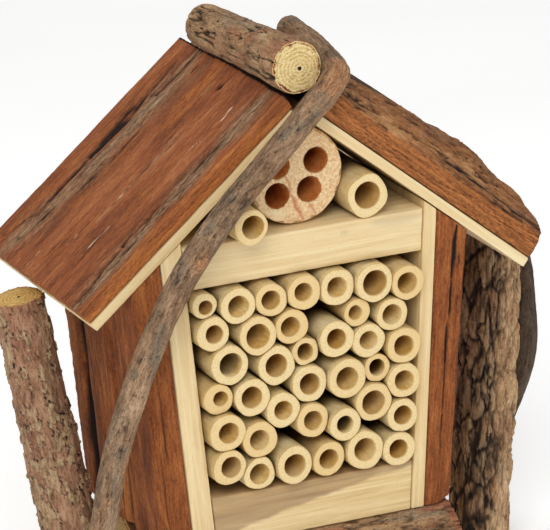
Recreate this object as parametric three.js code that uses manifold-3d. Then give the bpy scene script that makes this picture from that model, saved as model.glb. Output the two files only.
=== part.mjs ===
// Insect hotel: a small bark-clad house full of bamboo tubes, carried by two sill logs
// between two leaning posts, with a bent branch across its front and another at the back.
// Millimetres, +Z up, the front looks along -Y, the ground is z = 0.
import * as THREE from 'three';
import { mergeVertices } from 'three/addons/utils/BufferGeometryUtils.js';
import Module from 'manifold-3d';

const wasm = await Module();
wasm.setup();

// ---------------------------------------------------------------- driving dimensions
const GAP = 0.3;                       // clearance between neighbouring pieces

const HOUSE_BOTTOM = 38;               // underside of the house above the ground
const HOUSE_DEPTH = 62;                // front edge to back face of the walls
const HALF_WIDTH = 33.5;               // inner half width at the house bottom
const FLARE = 0.076;                   // how much the inner half width grows per mm of height
const LEFT_BOARD = 7.2;
const RIGHT_BOARD = 4.4;
const LEFT_BARK = 10.3;
const RIGHT_BARK = 10.0;
const BACK_BOARD = 4;
const LEFT_WALL_SWELL = 0.6;           // how much thicker the bark slab is at its top
const RIGHT_WALL_SWELL = 2.6;
const FLOOR_BAR_HEIGHT = 16.3;
const SHELF_BOTTOM = 122.7;
const SHELF_HEIGHT = 13.6;

const RIDGE_HEIGHT = 173;              // where the undersides of the two roof boards meet
const PITCH = THREE.MathUtils.degToRad(39.5);
const ROOF_BOARD = 3.2;
const ROOF_FRONT = -0.7;               // front edge, in front of the walls
const LEFT_ROOF_DEPTH = 81.5;
const RIGHT_ROOF_DEPTH = 76;
const LEFT_SLOPE = 90.4;
const RIGHT_SLOPE = 96.4;
const LEFT_ROOF_BARK = 4.9;
const LEFT_ROOF_CROWN = 1.2;
const RIGHT_ROOF_BARK = 9.2;
const RIGHT_ROOF_CROWN = 9.2;          // extra thickness in the middle of the right slab
const RIGHT_ROOF_THINNED = 0.8;        // lost again towards the back edge

// Grooves along the bark: place and width as shares of the depth, and how deep they are cut.
const LEFT_WALL_GROOVES = [
  { at: 0.42, width: 0.05, cut: 1.6 },
  { at: 0.84, width: 0.05, cut: 2.2 },
];
const RIGHT_WALL_GROOVES = [
  { at: 0.5, width: 0.05, cut: 1.4 },
];
const LEFT_ROOF_GROOVES = [
  { at: 0.67, width: 0.06, cut: 0.9 },
];

// How the right slab's crown swells and sinks on its way down the slope, as shares of the slope.
const CROWN_AT_RIDGE = 0.3;
const CROWN_CHANGES = [
  { from: 0, to: 0.15, gain: 0.4 },
  { from: 0.2, to: 0.55, gain: 0.3 },
  { from: 0.6, to: 0.68, gain: 0.1 },
  { from: 0.7, to: 0.88, gain: -0.3 },
  { from: 0.94, to: 1, gain: -0.12 },
];

const RIDGE_LOG = {
  front: new THREE.Vector3(-1.3, -2, 188.4),
  back: new THREE.Vector3(-1.7, 71, 185.5),
  frontRadius: 8.5,
  backRadius: 6.8,
};
const BRANCH_RADIUS = 4.4;
const LEFT_POST = { footX: -58.2, topX: -76.7, y: 48, topZ: 113.6, footRadius: 9.8, topRadius: 8.2 };
const RIGHT_POST = { footX: 77.2, topX: 86.2, y: 44, topZ: 111.8, footRadius: 10.5, topRadius: 10.3 };

const SILL_RADIUS = 20.5;
const SILL_HALF_HEIGHT = HOUSE_BOTTOM / 2;
const FRONT_SILL = { left: -56, right: 47.5, y: 8 };
const REAR_SILL = { left: -47.3, right: 52, y: 50 };

const BLOCK_RADIUS = 15.7;             // drilled block of wood in the gable
const BLOCK_FRONT = 4.6;
const DRILL = 8;
const DRILL_DEPTH = 42;
const DRILLED_HOLES = [
  [6.8, 3.8],
  [4.3, -5.2],
  [-6.5, -5.7],
  [-6.1, 3.8],
];

const TUBE_BACK = HOUSE_DEPTH - BACK_BOARD - 2 * GAP;
const TUBE_END_WALL = 4;               // the cane's own node closes each tube at the back
const TUBE_SIDES = 12;

// Lower compartment: centre x, centre z, outer diameter, bore diameter, front overhang.
const TUBES = [
  [-29.5, 65.5, 11.0, 6.6, 3.4],
  [-19.0, 61.0, 10.6, 6.6, 2.8],
  [-8.5, 61.5, 11.8, 7.1, 4.0],
  [4.5, 61.0, 10.8, 6.3, 3.0],
  [16.5, 62.0, 12.4, 7.3, 3.8],
  [28.5, 60.0, 10.8, 6.1, 3.2],
  [-30.0, 77.0, 11.8, 6.5, 4.2],
  [-18.5, 72.5, 11.4, 6.3, 3.4],
  [30.5, 70.5, 10.4, 6.1, 3.0],
  [9.5, 72.5, 10.6, 5.5, 4.4],
  [-1.5, 75.5, 10.8, 6.1, 3.2],
  [20.0, 77.5, 12.0, 7.7, 3.8],
  [-10.5, 81.5, 11.2, 5.9, 3.4],
  [-22.0, 86.5, 11.8, 6.7, 3.6],
  [-32.5, 87.5, 9.6, 4.7, 2.6],
  [30.5, 82.5, 11.0, 6.3, 3.4],
  [-1.5, 87.0, 11.6, 6.7, 3.0],
  [10.5, 87.0, 12.6, 7.3, 4.2],
  [21.0, 88.5, 8.8, 5.3, 2.4],
  [-12.5, 94.5, 12.2, 7.3, 3.8],
  [-27.5, 97.0, 12.4, 7.5, 3.4],
  [-1.5, 98.0, 8.8, 5.3, 2.2],
  [31.0, 94.0, 11.4, 6.5, 3.6],
  [19.5, 98.0, 10.8, 5.8, 3.2],
  [8.5, 100.5, 11.4, 6.3, 4.0],
  [-7.0, 106.5, 11.0, 6.3, 3.2],
  [-18.5, 105.5, 12.2, 7.7, 4.4],
  [-33.0, 108.0, 10.8, 5.7, 3.0],
  [27.0, 104.5, 10.6, 6.4, 3.4],
  [15.5, 107.5, 8.8, 4.5, 2.8],
  [-35.0, 117.5, 8.0, 4.5, 2.4],
  [-24.0, 115.5, 11.4, 6.7, 3.8],
  [-12.5, 115.0, 10.4, 6.0, 3.2],
  [-1.5, 116.5, 11.0, 5.8, 3.6],
  [10.0, 116.5, 11.4, 6.4, 3.0],
  [22.0, 115.5, 12.2, 8.1, 4.2],
  [34.0, 113.5, 11.0, 6.7, 3.4],
];
const GABLE_TUBES = [
  ['gable_tube_left', -21.3, 142.5, 11.6, 7.2, 9.0],
  ['gable_tube_right', 21.5, 143.7, 14.2, 8.4, 1.2],
];

// Centre lines of the two branches, from their upper ends down.
const BENT_BRANCH = [
  [10.7, 33.0, 191.8],
  [11.0, 24.0, 190.8],
  [11.2, 16.0, 190.0],
  [11.5, 8.0, 188.1],
  [11.7, 2.5, 186.6],
  [11.0, -3.9, 185.2],
  [7.4, -7.6, 183.0],
  [-0.6, -9.0, 176.3],
  [-15.0, -10.8, 163.6],
  [-28.2, -12.4, 152.5],
  [-37.4, -12.4, 142.3],
  [-46.5, -11.0, 129.2],
  [-54.7, -10.0, 114.0],
  [-60.3, -9.5, 102.0],
  [-65.3, -9.0, 89.0],
  [-69.6, -8.5, 76.0],
  [-74.4, -8.0, 54.4],
  [-80.5, -7.0, 29.0],
  [-86.0, -6.0, 5.0],
];
const REAR_BRANCH = [
  [23.5, 66.9, 176.7],
  [41.9, 66.5, 162.0],
  [69.0, 65.5, 140.2],
  [82.5, 64.5, 128.8],
  [93.5, 63.5, 117.5],
  [100.0, 62.5, 105.0],
  [104.0, 61.5, 90.0],
  [105.2, 61.0, 75.0],
  [105.0, 61.0, 61.0],
  [101.6, 62.0, 48.0],
  [95.6, 64.0, 34.0],
  [90.0, 66.0, 19.0],
  [87.0, 67.0, 5.0],
];
const BRANCH_STEPS = 44;
const BRANCH_SIDES = 9;

// ---------------------------------------------------------------- materials
const wood = (color, roughness) => new THREE.MeshStandardMaterial({ color, roughness, metalness: 0 });
const paleBoard = () => wood(0xe6d3a3, 0.75);
const redBark = () => wood(0x96502d, 0.9);
const greyBark = () => wood(0x7c6856, 0.92);
const brownBark = () => wood(0x8f6a4e, 0.92);
const cane = () => wood(0xdcc690, 0.6);
const pinkWood = () => wood(0xe4bd94, 0.8);

// ---------------------------------------------------------------- helpers
const hotel = new THREE.Group();

function add(name, geometry, material) {
  const mesh = new THREE.Mesh(geometry, material);
  mesh.name = name;
  hotel.add(mesh);
  return mesh;
}

// A mirrored shape comes out inside out, so its faces are turned back.
function faceOutwards(geometry) {
  const position = geometry.attributes.position;
  const index = geometry.index;
  const corner = (i) => new THREE.Vector3().fromBufferAttribute(position, index.getX(i));
  let volume = 0;
  for (let i = 0; i < index.count; i += 3) {
    volume += corner(i).dot(corner(i + 1).cross(corner(i + 2)));
  }
  if (volume < 0) {
    for (let i = 0; i < index.count; i += 3) {
      const kept = index.getX(i);
      index.setX(i, index.getX(i + 1));
      index.setX(i + 1, kept);
    }
  }
  return geometry;
}

// Moves every point of a geometry through a function of that point.
function reshape(geometry, place) {
  const position = geometry.attributes.position;
  const point = new THREE.Vector3();
  for (let i = 0; i < position.count; i += 1) {
    point.fromBufferAttribute(position, i);
    const placed = place(point);
    position.setXYZ(i, placed.x, placed.y, placed.z);
  }
  return faceOutwards(geometry);
}

// A box with divided faces whose points run from 0 to 1 each way before they are placed.
function mappedBox(across, along, up, place) {
  const box = new THREE.BoxGeometry(1, 1, 1, across, along, up);
  box.translate(0.5, 0.5, 0.5);
  return reshape(box, (p) => place(p.x, p.y, p.z));
}

// A cylinder whose points are placed by angle, radius share (0 to 1) and height share (0 to 1).
function mappedCylinder(sides, rings, place) {
  const cylinder = new THREE.CylinderGeometry(1, 1, 1, sides, rings);
  return reshape(cylinder, (p) => place(Math.atan2(p.z, p.x), Math.hypot(p.x, p.z), p.y + 0.5));
}

const innerHalfWidth = (z) => HALF_WIDTH + FLARE * (z - HOUSE_BOTTOM);

// Underside of the roof above a given distance from the middle, less the clearance.
const underRoof = (distance) => RIDGE_HEIGHT - distance * Math.tan(PITCH) - GAP / Math.cos(PITCH);

// Height at which a leaning wall face, set outwards by an offset, meets the roof's underside.
function wallTop(offset) {
  const base = HALF_WIDTH + offset - FLARE * HOUSE_BOTTOM;
  return (underRoof(0) - base * Math.tan(PITCH)) / (1 + FLARE * Math.tan(PITCH));
}

function solid(geometry) {
  const bare = geometry.clone();
  bare.deleteAttribute('normal');
  bare.deleteAttribute('uv');
  const merged = mergeVertices(bare, 1e-4);
  return new wasm.Manifold(new wasm.Mesh({
    numProp: 3,
    vertProperties: new Float32Array(merged.attributes.position.array),
    triVerts: new Uint32Array(merged.index.array),
  }));
}

function fromSolid(body) {
  const mesh = body.getMesh();
  const geometry = new THREE.BufferGeometry();
  geometry.setAttribute('position', new THREE.BufferAttribute(mesh.vertProperties, 3));
  geometry.setIndex(new THREE.BufferAttribute(mesh.triVerts, 1));
  geometry.computeVertexNormals();
  return geometry;
}

// ---------------------------------------------------------------- walls
function wallBoard(side, thickness) {
  return mappedBox(1, 1, 1, (u, v, w) => {
    const offset = thickness * u;
    const z = THREE.MathUtils.lerp(HOUSE_BOTTOM, wallTop(offset), w);
    const x = innerHalfWidth(z) + offset;
    return new THREE.Vector3(side * x, HOUSE_DEPTH * v, z);
  });
}

// How deep the grooves of a bark slab are at a share of its depth.
const cutBy = (grooves, v) => (
  grooves.reduce((sum, groove) => sum + groove.cut * Math.exp(-(((v - groove.at) / groove.width) ** 2)), 0)
);

// The bark slab outside a wall board: thicker towards its top, with grooves up its outer face.
function wallBark(side, board, bark, swell, grooves) {
  return mappedBox(1, 16, 8, (u, v, w) => {
    const wave = 0.7 * Math.sin(5.2 * w + 1.1) * Math.sin(2.6 * v + 0.4);
    const offset = board + GAP + u * (bark + swell * (w - 0.5) - cutBy(grooves, v) + wave);
    const z = THREE.MathUtils.lerp(HOUSE_BOTTOM, wallTop(offset), w);
    const x = innerHalfWidth(z) + offset;
    return new THREE.Vector3(side * x, HOUSE_DEPTH * v, z);
  });
}

// ---------------------------------------------------------------- boards inside the walls
// A board across the house whose ends follow the leaning walls.
function crossBoard(bottom, height, front, depth) {
  return mappedBox(1, 1, 1, (u, v, w) => {
    const z = bottom + height * w;
    const x = (2 * u - 1) * (innerHalfWidth(z) - GAP);
    return new THREE.Vector3(x, front + depth * v, z);
  });
}

function backBoard() {
  const outline = new THREE.Shape();
  const inset = -GAP;
  const low = innerHalfWidth(HOUSE_BOTTOM) + inset;
  const shoulder = wallTop(inset);
  outline.moveTo(-low, HOUSE_BOTTOM);
  outline.lineTo(low, HOUSE_BOTTOM);
  outline.lineTo(innerHalfWidth(shoulder) + inset, shoulder);
  outline.lineTo(0, underRoof(0));
  outline.lineTo(-innerHalfWidth(shoulder) - inset, shoulder);
  outline.closePath();
  const board = new THREE.ExtrudeGeometry(outline, { depth: BACK_BOARD, bevelEnabled: false });
  board.rotateX(Math.PI / 2);
  board.translate(0, HOUSE_DEPTH, 0);
  return board;
}

// ---------------------------------------------------------------- roof
// A point of the roof: distance down the slope, depth, height above the board's underside.
function onRoof(side, down, y, height) {
  const x = down * Math.cos(PITCH) + height * Math.sin(PITCH);
  const z = RIDGE_HEIGHT - down * Math.sin(PITCH) + height * Math.cos(PITCH);
  return new THREE.Vector3(side * x, y, z);
}

function roofBoard(side, slope, depth) {
  return mappedBox(1, 1, 1, (u, v, w) => (
    onRoof(side, GAP + slope * u, ROOF_FRONT + depth * v, ROOF_BOARD * w)
  ));
}

function roofBark(side, slope, depth, thickness) {
  return mappedBox(14, 14, 1, (u, v, w) => {
    const height = ROOF_BOARD + GAP + w * (thickness(u, v) - GAP);
    return onRoof(side, GAP + slope * u, ROOF_FRONT + depth * v, height);
  });
}

const leftRoofThickness = (u, v) => (
  LEFT_ROOF_BARK + LEFT_ROOF_CROWN * Math.sin(Math.PI * v) - cutBy(LEFT_ROOF_GROOVES, v)
);

// The right slab is half a trunk's bark: thin along its front and back edges, crowned between.
function rightRoofThickness(u, v) {
  const arch = Math.sin(Math.PI * THREE.MathUtils.clamp(v / 0.78, 0, 1)) ** 0.8;
  const share = CROWN_CHANGES.reduce((sum, change) => (
    sum + change.gain * THREE.MathUtils.smoothstep(u, change.from, change.to)
  ), CROWN_AT_RIDGE);
  const thinned = RIGHT_ROOF_THINNED * THREE.MathUtils.smoothstep(v, 0.7, 0.8);
  return RIGHT_ROOF_BARK - thinned + RIGHT_ROOF_CROWN * arch * share;
}

// ---------------------------------------------------------------- logs, posts and branches
// A log between two points whose radius changes along it and swells a little.
function log(start, end, startRadius, endRadius) {
  const axis = end.clone().sub(start);
  const frame = new THREE.Quaternion().setFromUnitVectors(
    new THREE.Vector3(0, 1, 0),
    axis.clone().normalize(),
  );
  return mappedCylinder(16, 8, (angle, share, height) => {
    const radius = THREE.MathUtils.lerp(startRadius, endRadius, height);
    const bulge = 1 + 0.01 * Math.sin(2 * angle + 7 * height);
    const r = share * radius * bulge;
    const point = new THREE.Vector3(r * Math.cos(angle), 0, r * Math.sin(angle));
    return point.applyQuaternion(frame).add(start).addScaledVector(axis, height);
  });
}

// A post stands flat on the ground and is sawn square across its leaning top.
function post({ footX, topX, y, topZ, footRadius, topRadius }) {
  const lean = Math.atan2(topX - footX, topZ);
  return mappedCylinder(16, 8, (angle, share, height) => {
    const tilt = lean * height;
    const radius = THREE.MathUtils.lerp(footRadius, topRadius, height);
    const r = share * radius * (1 + 0.02 * Math.sin(3 * angle + 5 * height));
    const across = r * Math.cos(angle);
    const x = THREE.MathUtils.lerp(footX, topX, height) + across * Math.cos(tilt);
    return new THREE.Vector3(x, y - r * Math.sin(angle), topZ * height - across * Math.sin(tilt));
  });
}

// A sill log lies along X, planed flat on top and underneath.
function sillLog({ left, right, y }) {
  return mappedCylinder(20, 6, (angle, share, height) => {
    const r = share * SILL_RADIUS * (1 + 0.015 * Math.sin(2 * angle + 4 * height));
    const z = THREE.MathUtils.clamp(r * Math.sin(angle), -SILL_HALF_HEIGHT, SILL_HALF_HEIGHT - GAP);
    const x = THREE.MathUtils.lerp(left, right, height);
    return new THREE.Vector3(x, y + r * Math.cos(angle), SILL_HALF_HEIGHT + z);
  });
}

function branch(points, radius) {
  const path = new THREE.CatmullRomCurve3(points.map((p) => new THREE.Vector3(...p)), false, 'centripetal');
  const section = new THREE.Shape();
  for (let i = 0; i < BRANCH_SIDES; i += 1) {
    const angle = (2 * Math.PI * i) / BRANCH_SIDES;
    const method = i === 0 ? 'moveTo' : 'lineTo';
    section[method](radius * Math.cos(angle), radius * Math.sin(angle));
  }
  section.closePath();
  return new THREE.ExtrudeGeometry(section, { steps: BRANCH_STEPS, extrudePath: path });
}

// ---------------------------------------------------------------- tubes and drilled block
// A length of cane, open at the front and closed by its own node at the back.
function tube(x, z, outer, bore, overhang, turn) {
  const front = -overhang;
  const length = TUBE_BACK - front;
  const profile = [
    [0, TUBE_END_WALL],
    [bore / 2, TUBE_END_WALL],
    [bore / 2, length],
    [outer / 2, length],
    [outer / 2, 0],
    [0, 0],
  ].map(([r, h]) => new THREE.Vector2(r, h)).reverse();
  const cut = new THREE.LatheGeometry(profile, TUBE_SIDES);
  return reshape(cut, (p) => {
    const angle = Math.atan2(p.z, p.x);
    const oval = 0.985 + 0.015 * Math.cos(2 * angle + turn);
    return new THREE.Vector3(x + p.x * oval, TUBE_BACK - p.y, z + p.z * oval);
  });
}

// Pushes tubes that would touch apart, so that every pair keeps its clearance.
function settle(tubes) {
  const rounds = 400;
  const floor = HOUSE_BOTTOM + FLOOR_BAR_HEIGHT + GAP;
  const ceiling = SHELF_BOTTOM - GAP;
  const spots = tubes.map(([x, z, outer]) => ({ x, z, r: outer / 2 }));
  for (let round = 0; round < rounds; round += 1) {
    spots.forEach((a, i) => {
      spots.slice(i + 1).forEach((b) => {
        const dx = b.x - a.x;
        const dz = b.z - a.z;
        const distance = Math.hypot(dx, dz);
        const short = a.r + b.r + GAP - distance;
        if (short > 0) {
          const push = short / 2 / distance;
          a.x -= dx * push;
          a.z -= dz * push;
          b.x += dx * push;
          b.z += dz * push;
        }
      });
      a.z = THREE.MathUtils.clamp(a.z, floor + a.r, ceiling - a.r);
      const reach = innerHalfWidth(a.z) - a.r - 2 * GAP;
      a.x = THREE.MathUtils.clamp(a.x, -reach, reach);
    });
  }
  return spots;
}

function drilledBlock() {
  const z = SHELF_BOTTOM + SHELF_HEIGHT + GAP + BLOCK_RADIUS;
  const depth = TUBE_BACK - BLOCK_FRONT;
  const block = new THREE.CylinderGeometry(BLOCK_RADIUS, BLOCK_RADIUS, depth, 36);
  block.translate(0, BLOCK_FRONT + depth / 2, 0);
  const drilled = DRILLED_HOLES.reduce((body, [dx, dz]) => {
    const drill = new THREE.CylinderGeometry(DRILL / 2, DRILL / 2, 2 * DRILL_DEPTH, 16);
    drill.translate(dx, BLOCK_FRONT, dz);
    return body.subtract(solid(drill));
  }, solid(block));
  const geometry = fromSolid(drilled);
  geometry.translate(0, 0, z);
  return geometry;
}

// ---------------------------------------------------------------- assembly
function addHouse() {
  add('wall_left_board', wallBoard(-1, LEFT_BOARD), paleBoard());
  const leftBark = wallBark(-1, LEFT_BOARD, LEFT_BARK, LEFT_WALL_SWELL, LEFT_WALL_GROOVES);
  add('wall_left_bark', leftBark, redBark());
  add('wall_right_board', wallBoard(1, RIGHT_BOARD), paleBoard());
  const rightBark = wallBark(1, RIGHT_BOARD, RIGHT_BARK, RIGHT_WALL_SWELL, RIGHT_WALL_GROOVES);
  add('wall_right_bark', rightBark, redBark());
  add('back_board', backBoard(), paleBoard());
  add('floor_bar', crossBoard(HOUSE_BOTTOM, FLOOR_BAR_HEIGHT, 0, TUBE_BACK), paleBoard());
  add('shelf', crossBoard(SHELF_BOTTOM, SHELF_HEIGHT, 0, TUBE_BACK), paleBoard());
}

function addRoof() {
  add('roof_left_board', roofBoard(-1, LEFT_SLOPE, LEFT_ROOF_DEPTH), paleBoard());
  add('roof_left_bark', roofBark(-1, LEFT_SLOPE, LEFT_ROOF_DEPTH, leftRoofThickness), redBark());
  add('roof_right_board', roofBoard(1, RIGHT_SLOPE, RIGHT_ROOF_DEPTH), paleBoard());
  add('roof_right_bark', roofBark(1, RIGHT_SLOPE, RIGHT_ROOF_DEPTH, rightRoofThickness), redBark());
  const { front, back, frontRadius, backRadius } = RIDGE_LOG;
  add('ridge_log', log(back, front, backRadius, frontRadius), greyBark());
}

function addStand() {
  add('post_left', post(LEFT_POST), brownBark());
  add('post_right', post(RIGHT_POST), brownBark());
  add('sill_log_front', sillLog(FRONT_SILL), brownBark());
  add('sill_log_rear', sillLog(REAR_SILL), brownBark());
  add('bent_branch', branch(BENT_BRANCH, BRANCH_RADIUS), greyBark());
  add('rear_branch', branch(REAR_BRANCH, BRANCH_RADIUS), greyBark());
}

function addFilling() {
  add('drilled_block', drilledBlock(), pinkWood());
  settle(TUBES).forEach((spot, i) => {
    const [, , outer, bore, overhang] = TUBES[i];
    const name = `tube_${String(i + 1).padStart(2, '0')}`;
    add(name, tube(spot.x, spot.z, outer, bore, overhang, i), cane());
  });
  GABLE_TUBES.forEach(([name, x, z, outer, bore, overhang], i) => {
    add(name, tube(x, z, outer, bore, overhang, i), cane());
  });
}

addHouse();
addRoof();
addStand();
addFilling();

// The origin is the middle of the footprint, on the ground.
const size = new THREE.Box3().setFromObject(hotel);
const middle = size.getCenter(new THREE.Vector3());
hotel.position.set(-middle.x, -middle.y, -size.min.z);

const group = new THREE.Group();
group.add(hotel);

export default group;
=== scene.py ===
"""Insect hotel: its looks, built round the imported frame. Design points are in millimetres."""
import itertools
import math

import bmesh
import bpy
import numpy as np
from mathutils import Matrix, Vector, geometry


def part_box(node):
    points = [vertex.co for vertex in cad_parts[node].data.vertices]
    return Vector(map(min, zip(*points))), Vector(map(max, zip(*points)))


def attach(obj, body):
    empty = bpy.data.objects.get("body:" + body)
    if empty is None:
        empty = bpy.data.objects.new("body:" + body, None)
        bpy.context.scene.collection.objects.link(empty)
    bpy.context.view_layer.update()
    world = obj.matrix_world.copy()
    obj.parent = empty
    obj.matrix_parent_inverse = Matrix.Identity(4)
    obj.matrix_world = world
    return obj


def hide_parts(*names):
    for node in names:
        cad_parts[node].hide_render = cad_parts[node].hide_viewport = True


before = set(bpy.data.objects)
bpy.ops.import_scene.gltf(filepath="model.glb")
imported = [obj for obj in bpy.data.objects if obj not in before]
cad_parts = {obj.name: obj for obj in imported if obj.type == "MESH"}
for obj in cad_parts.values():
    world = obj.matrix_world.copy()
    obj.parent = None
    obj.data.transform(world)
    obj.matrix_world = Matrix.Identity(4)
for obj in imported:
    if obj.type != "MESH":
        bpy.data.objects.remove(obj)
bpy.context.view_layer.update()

# ---------------------------------------------------------------- the design's own frame
# x = 0 is the middle of the house, y = 0 its front plane, z = 0 the ground.
MM = 0.001
shelf_low, shelf_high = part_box("shelf")
ORIGIN = np.array([(shelf_low.x + shelf_high.x) / 2, shelf_low.y, 0.0])
TURN = 2 * math.pi
BOARD_EDGE, SLAB_EDGE = 0.35, 0.45     # radius of the rounded edges


def metres(points):
    """Design points in the frame's own metres."""
    return np.asarray(points, float) * MM + ORIGIN


def node_points(node):
    """The points of a CAD node, in millimetres."""
    found = np.array([v.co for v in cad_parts[node].data.vertices], float)
    return (found - ORIGIN) / MM


# ---------------------------------------------------------------- driving dimensions
GAP = 0.3
HOUSE_BOTTOM = 38.0
HOUSE_DEPTH = 62.0
HALF_WIDTH = 33.5
FLARE = 0.076
LEFT_BOARD, RIGHT_BOARD = 7.2, 4.4
LEFT_BARK, RIGHT_BARK = 10.3, 10.0
LEFT_SWELL, RIGHT_SWELL = 0.6, 2.6
BACK_BOARD = 4.0
RIDGE_HEIGHT = 173.0
PITCH = math.radians(39.5)
ROOF_BOARD = 3.2
ROOF_FRONT = -0.7
LEFT_ROOF_DEPTH, RIGHT_ROOF_DEPTH = 81.5, 76.0
LEFT_SLOPE, RIGHT_SLOPE = 90.4, 96.4
LEFT_ROOF_BARK, LEFT_ROOF_CROWN = 4.9, 1.2
LEFT_ROOF_GROOVE = dict(at=0.67, width=0.06, depth=0.9)
RIGHT_ROOF_BARK, RIGHT_ROOF_CROWN = 9.2, 9.2
CROWN_AT_RIDGE = 0.3
CROWN_CHANGES = [(0, 0.15, 0.4), (0.2, 0.55, 0.3), (0.6, 0.68, 0.1), (0.7, 0.88, -0.3), (0.94, 1, -0.12)]
WALL_HEIGHT = 120.0
TUBE_BACK = HOUSE_DEPTH - BACK_BOARD - 2 * GAP
TUBE_END_WALL = 4.0
BLOCK_RADIUS, BLOCK_FRONT, BLOCK_HEIGHT = 15.7, 4.6, 152.3
DRILL, DRILL_DEPTH = 8.0, 42.0
DRILLED_HOLES = [(6.8, 3.8), (4.3, -5.2), (-6.5, -5.7), (-6.1, 3.8)]
RIDGE_LOG = dict(front=(-1.3, -2, 188.4), back=(-1.7, 71, 185.5), radius=(8.5, 6.8))
BRANCH_RADIUS = 4.4
LEFT_POST = dict(foot=-58.2, top=-76.7, y=48.0, height=113.6, radius=(9.8, 8.2))
RIGHT_POST = dict(foot=77.2, top=86.2, y=44.0, height=111.8, radius=(10.5, 10.3))
SILL_RADIUS, SILL_HALF = 20.5, 19.0
SILLS = {"sill_log_front": (-56.0, 47.5, 8.0), "sill_log_rear": (-47.3, 52.0, 50.0)}
BENT_BRANCH = [
    (10.7, 33, 191.8), (11, 24, 190.8), (11.2, 16, 190), (11.5, 8, 188.1), (11.7, 2.5, 186.6),
    (11, -3.9, 185.2), (7.4, -7.6, 183), (-0.6, -9, 176.3), (-15, -10.8, 163.6), (-28.2, -12.4, 152.5),
    (-37.4, -12.4, 142.3), (-46.5, -11, 129.2), (-54.7, -10, 114), (-60.3, -9.5, 102), (-65.3, -9, 89),
    (-69.6, -8.5, 76), (-74.4, -8, 54.4), (-80.5, -7, 29), (-86, -6, 5),
]
REAR_BRANCH = [
    (23.5, 66.9, 176.7), (41.9, 66.5, 162), (69, 65.5, 140.2), (82.5, 64.5, 128.8), (93.5, 63.5, 117.5),
    (100, 62.5, 105), (104, 61.5, 90), (105.2, 61, 75), (105, 61, 61), (101.6, 62, 48),
    (95.6, 64, 34), (90, 66, 19), (87, 67, 5),
]


# ---------------------------------------------------------------- noise
def scatter(cell, seed):
    """An even random number from 0 to 1 for each cell of a lattice."""
    h = cell[..., 0].astype(np.uint32) * np.uint32(374761393)
    h = h + cell[..., 1].astype(np.uint32) * np.uint32(668265263)
    h = h + cell[..., 2].astype(np.uint32) * np.uint32(2246822519)
    h = h + np.uint32(seed * 2654435761 % 2**32)
    h = (h ^ (h >> np.uint32(15))) * np.uint32(2246822519)
    h = (h ^ (h >> np.uint32(13))) * np.uint32(3266489917)
    return (h ^ (h >> np.uint32(16))) / 2.0**32


def noise(points, size, seed):
    """Smooth noise from -1 to 1, in lumps as wide as size along each axis."""
    place = points / np.asarray(size, float)
    cell = np.floor(place).astype(np.int64)
    share = place - cell
    share = share * share * (3 - 2 * share)
    total = 0
    for corner in itertools.product((0, 1), repeat=3):
        weight = np.prod(np.where(corner, share, 1 - share), axis=-1)
        total = total + weight * scatter(cell + corner, seed)
    return 2 * total - 1


def fractal(points, size, seed, octaves=4):
    """Noise with finer and finer noise laid over it."""
    total, weight, size = 0, 1.0, np.asarray(size, float)
    for octave in range(octaves):
        total = total + weight * noise(points, size, seed + 17 * octave)
        weight, size = weight * 0.55, size * 0.5
    return total / 1.6


def fissures(points, size, seed, sharp=4.0, octaves=3):
    """1 along wandering lines and 0 between them."""
    return np.clip(1 - sharp * np.abs(fractal(points, size, seed, octaves)), 0, 1)


def plates(points, size, seed):
    """How far each point is from the edge of its own scattered cell, and that cell's random number."""
    place = points / np.asarray(size, float)
    cell = np.floor(place).astype(np.int64)
    nearest = np.full(place.shape[:-1], 9.0)
    second = nearest.copy()
    owner = np.zeros(place.shape[:-1])
    for step in itertools.product((-1, 0, 1), repeat=3):
        there = cell + step
        seedling = np.stack([scatter(there, seed + k) for k in range(3)], axis=-1)
        distance = np.linalg.norm(there + seedling - place, axis=-1)
        closer = distance < nearest
        second = np.where(closer, nearest, np.minimum(second, distance))
        owner = np.where(closer, scatter(there, seed + 9), owner)
        nearest = np.where(closer, distance, nearest)
    return second - nearest, owner


def smooth(low, high, value):
    """Goes from 0 at low to 1 at high with soft ends."""
    share = np.clip((value - low) / (high - low), 0, 1)
    return share * share * (3 - 2 * share)


def laid_flat(place):
    """Places on a sheet as points in space."""
    return np.concatenate([place, 0 * place[..., :1]], axis=-1)


def parts_of(share):
    """The separate coordinates of an array of places."""
    return np.moveaxis(share, -1, 0)


def strokes(place, lines):
    """How strongly a set of soft lines covers each place: start, end, half width, strength."""
    cover = np.zeros(place.shape[:-1])
    for start, end, width, strength in lines:
        start, along = np.array(start, float), np.subtract(end, start, dtype=float)
        share = np.clip((place - start) @ along / max(along @ along, 1e-9), 0, 1)
        distance = np.linalg.norm(place - start - share[..., None] * along, axis=-1)
        taper = 0.35 + 0.65 * np.sin(math.pi * np.clip(share, 0.04, 0.96))
        cover = np.maximum(cover, strength * np.exp(-((distance / (width * taper)) ** 2)))
    return cover


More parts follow.
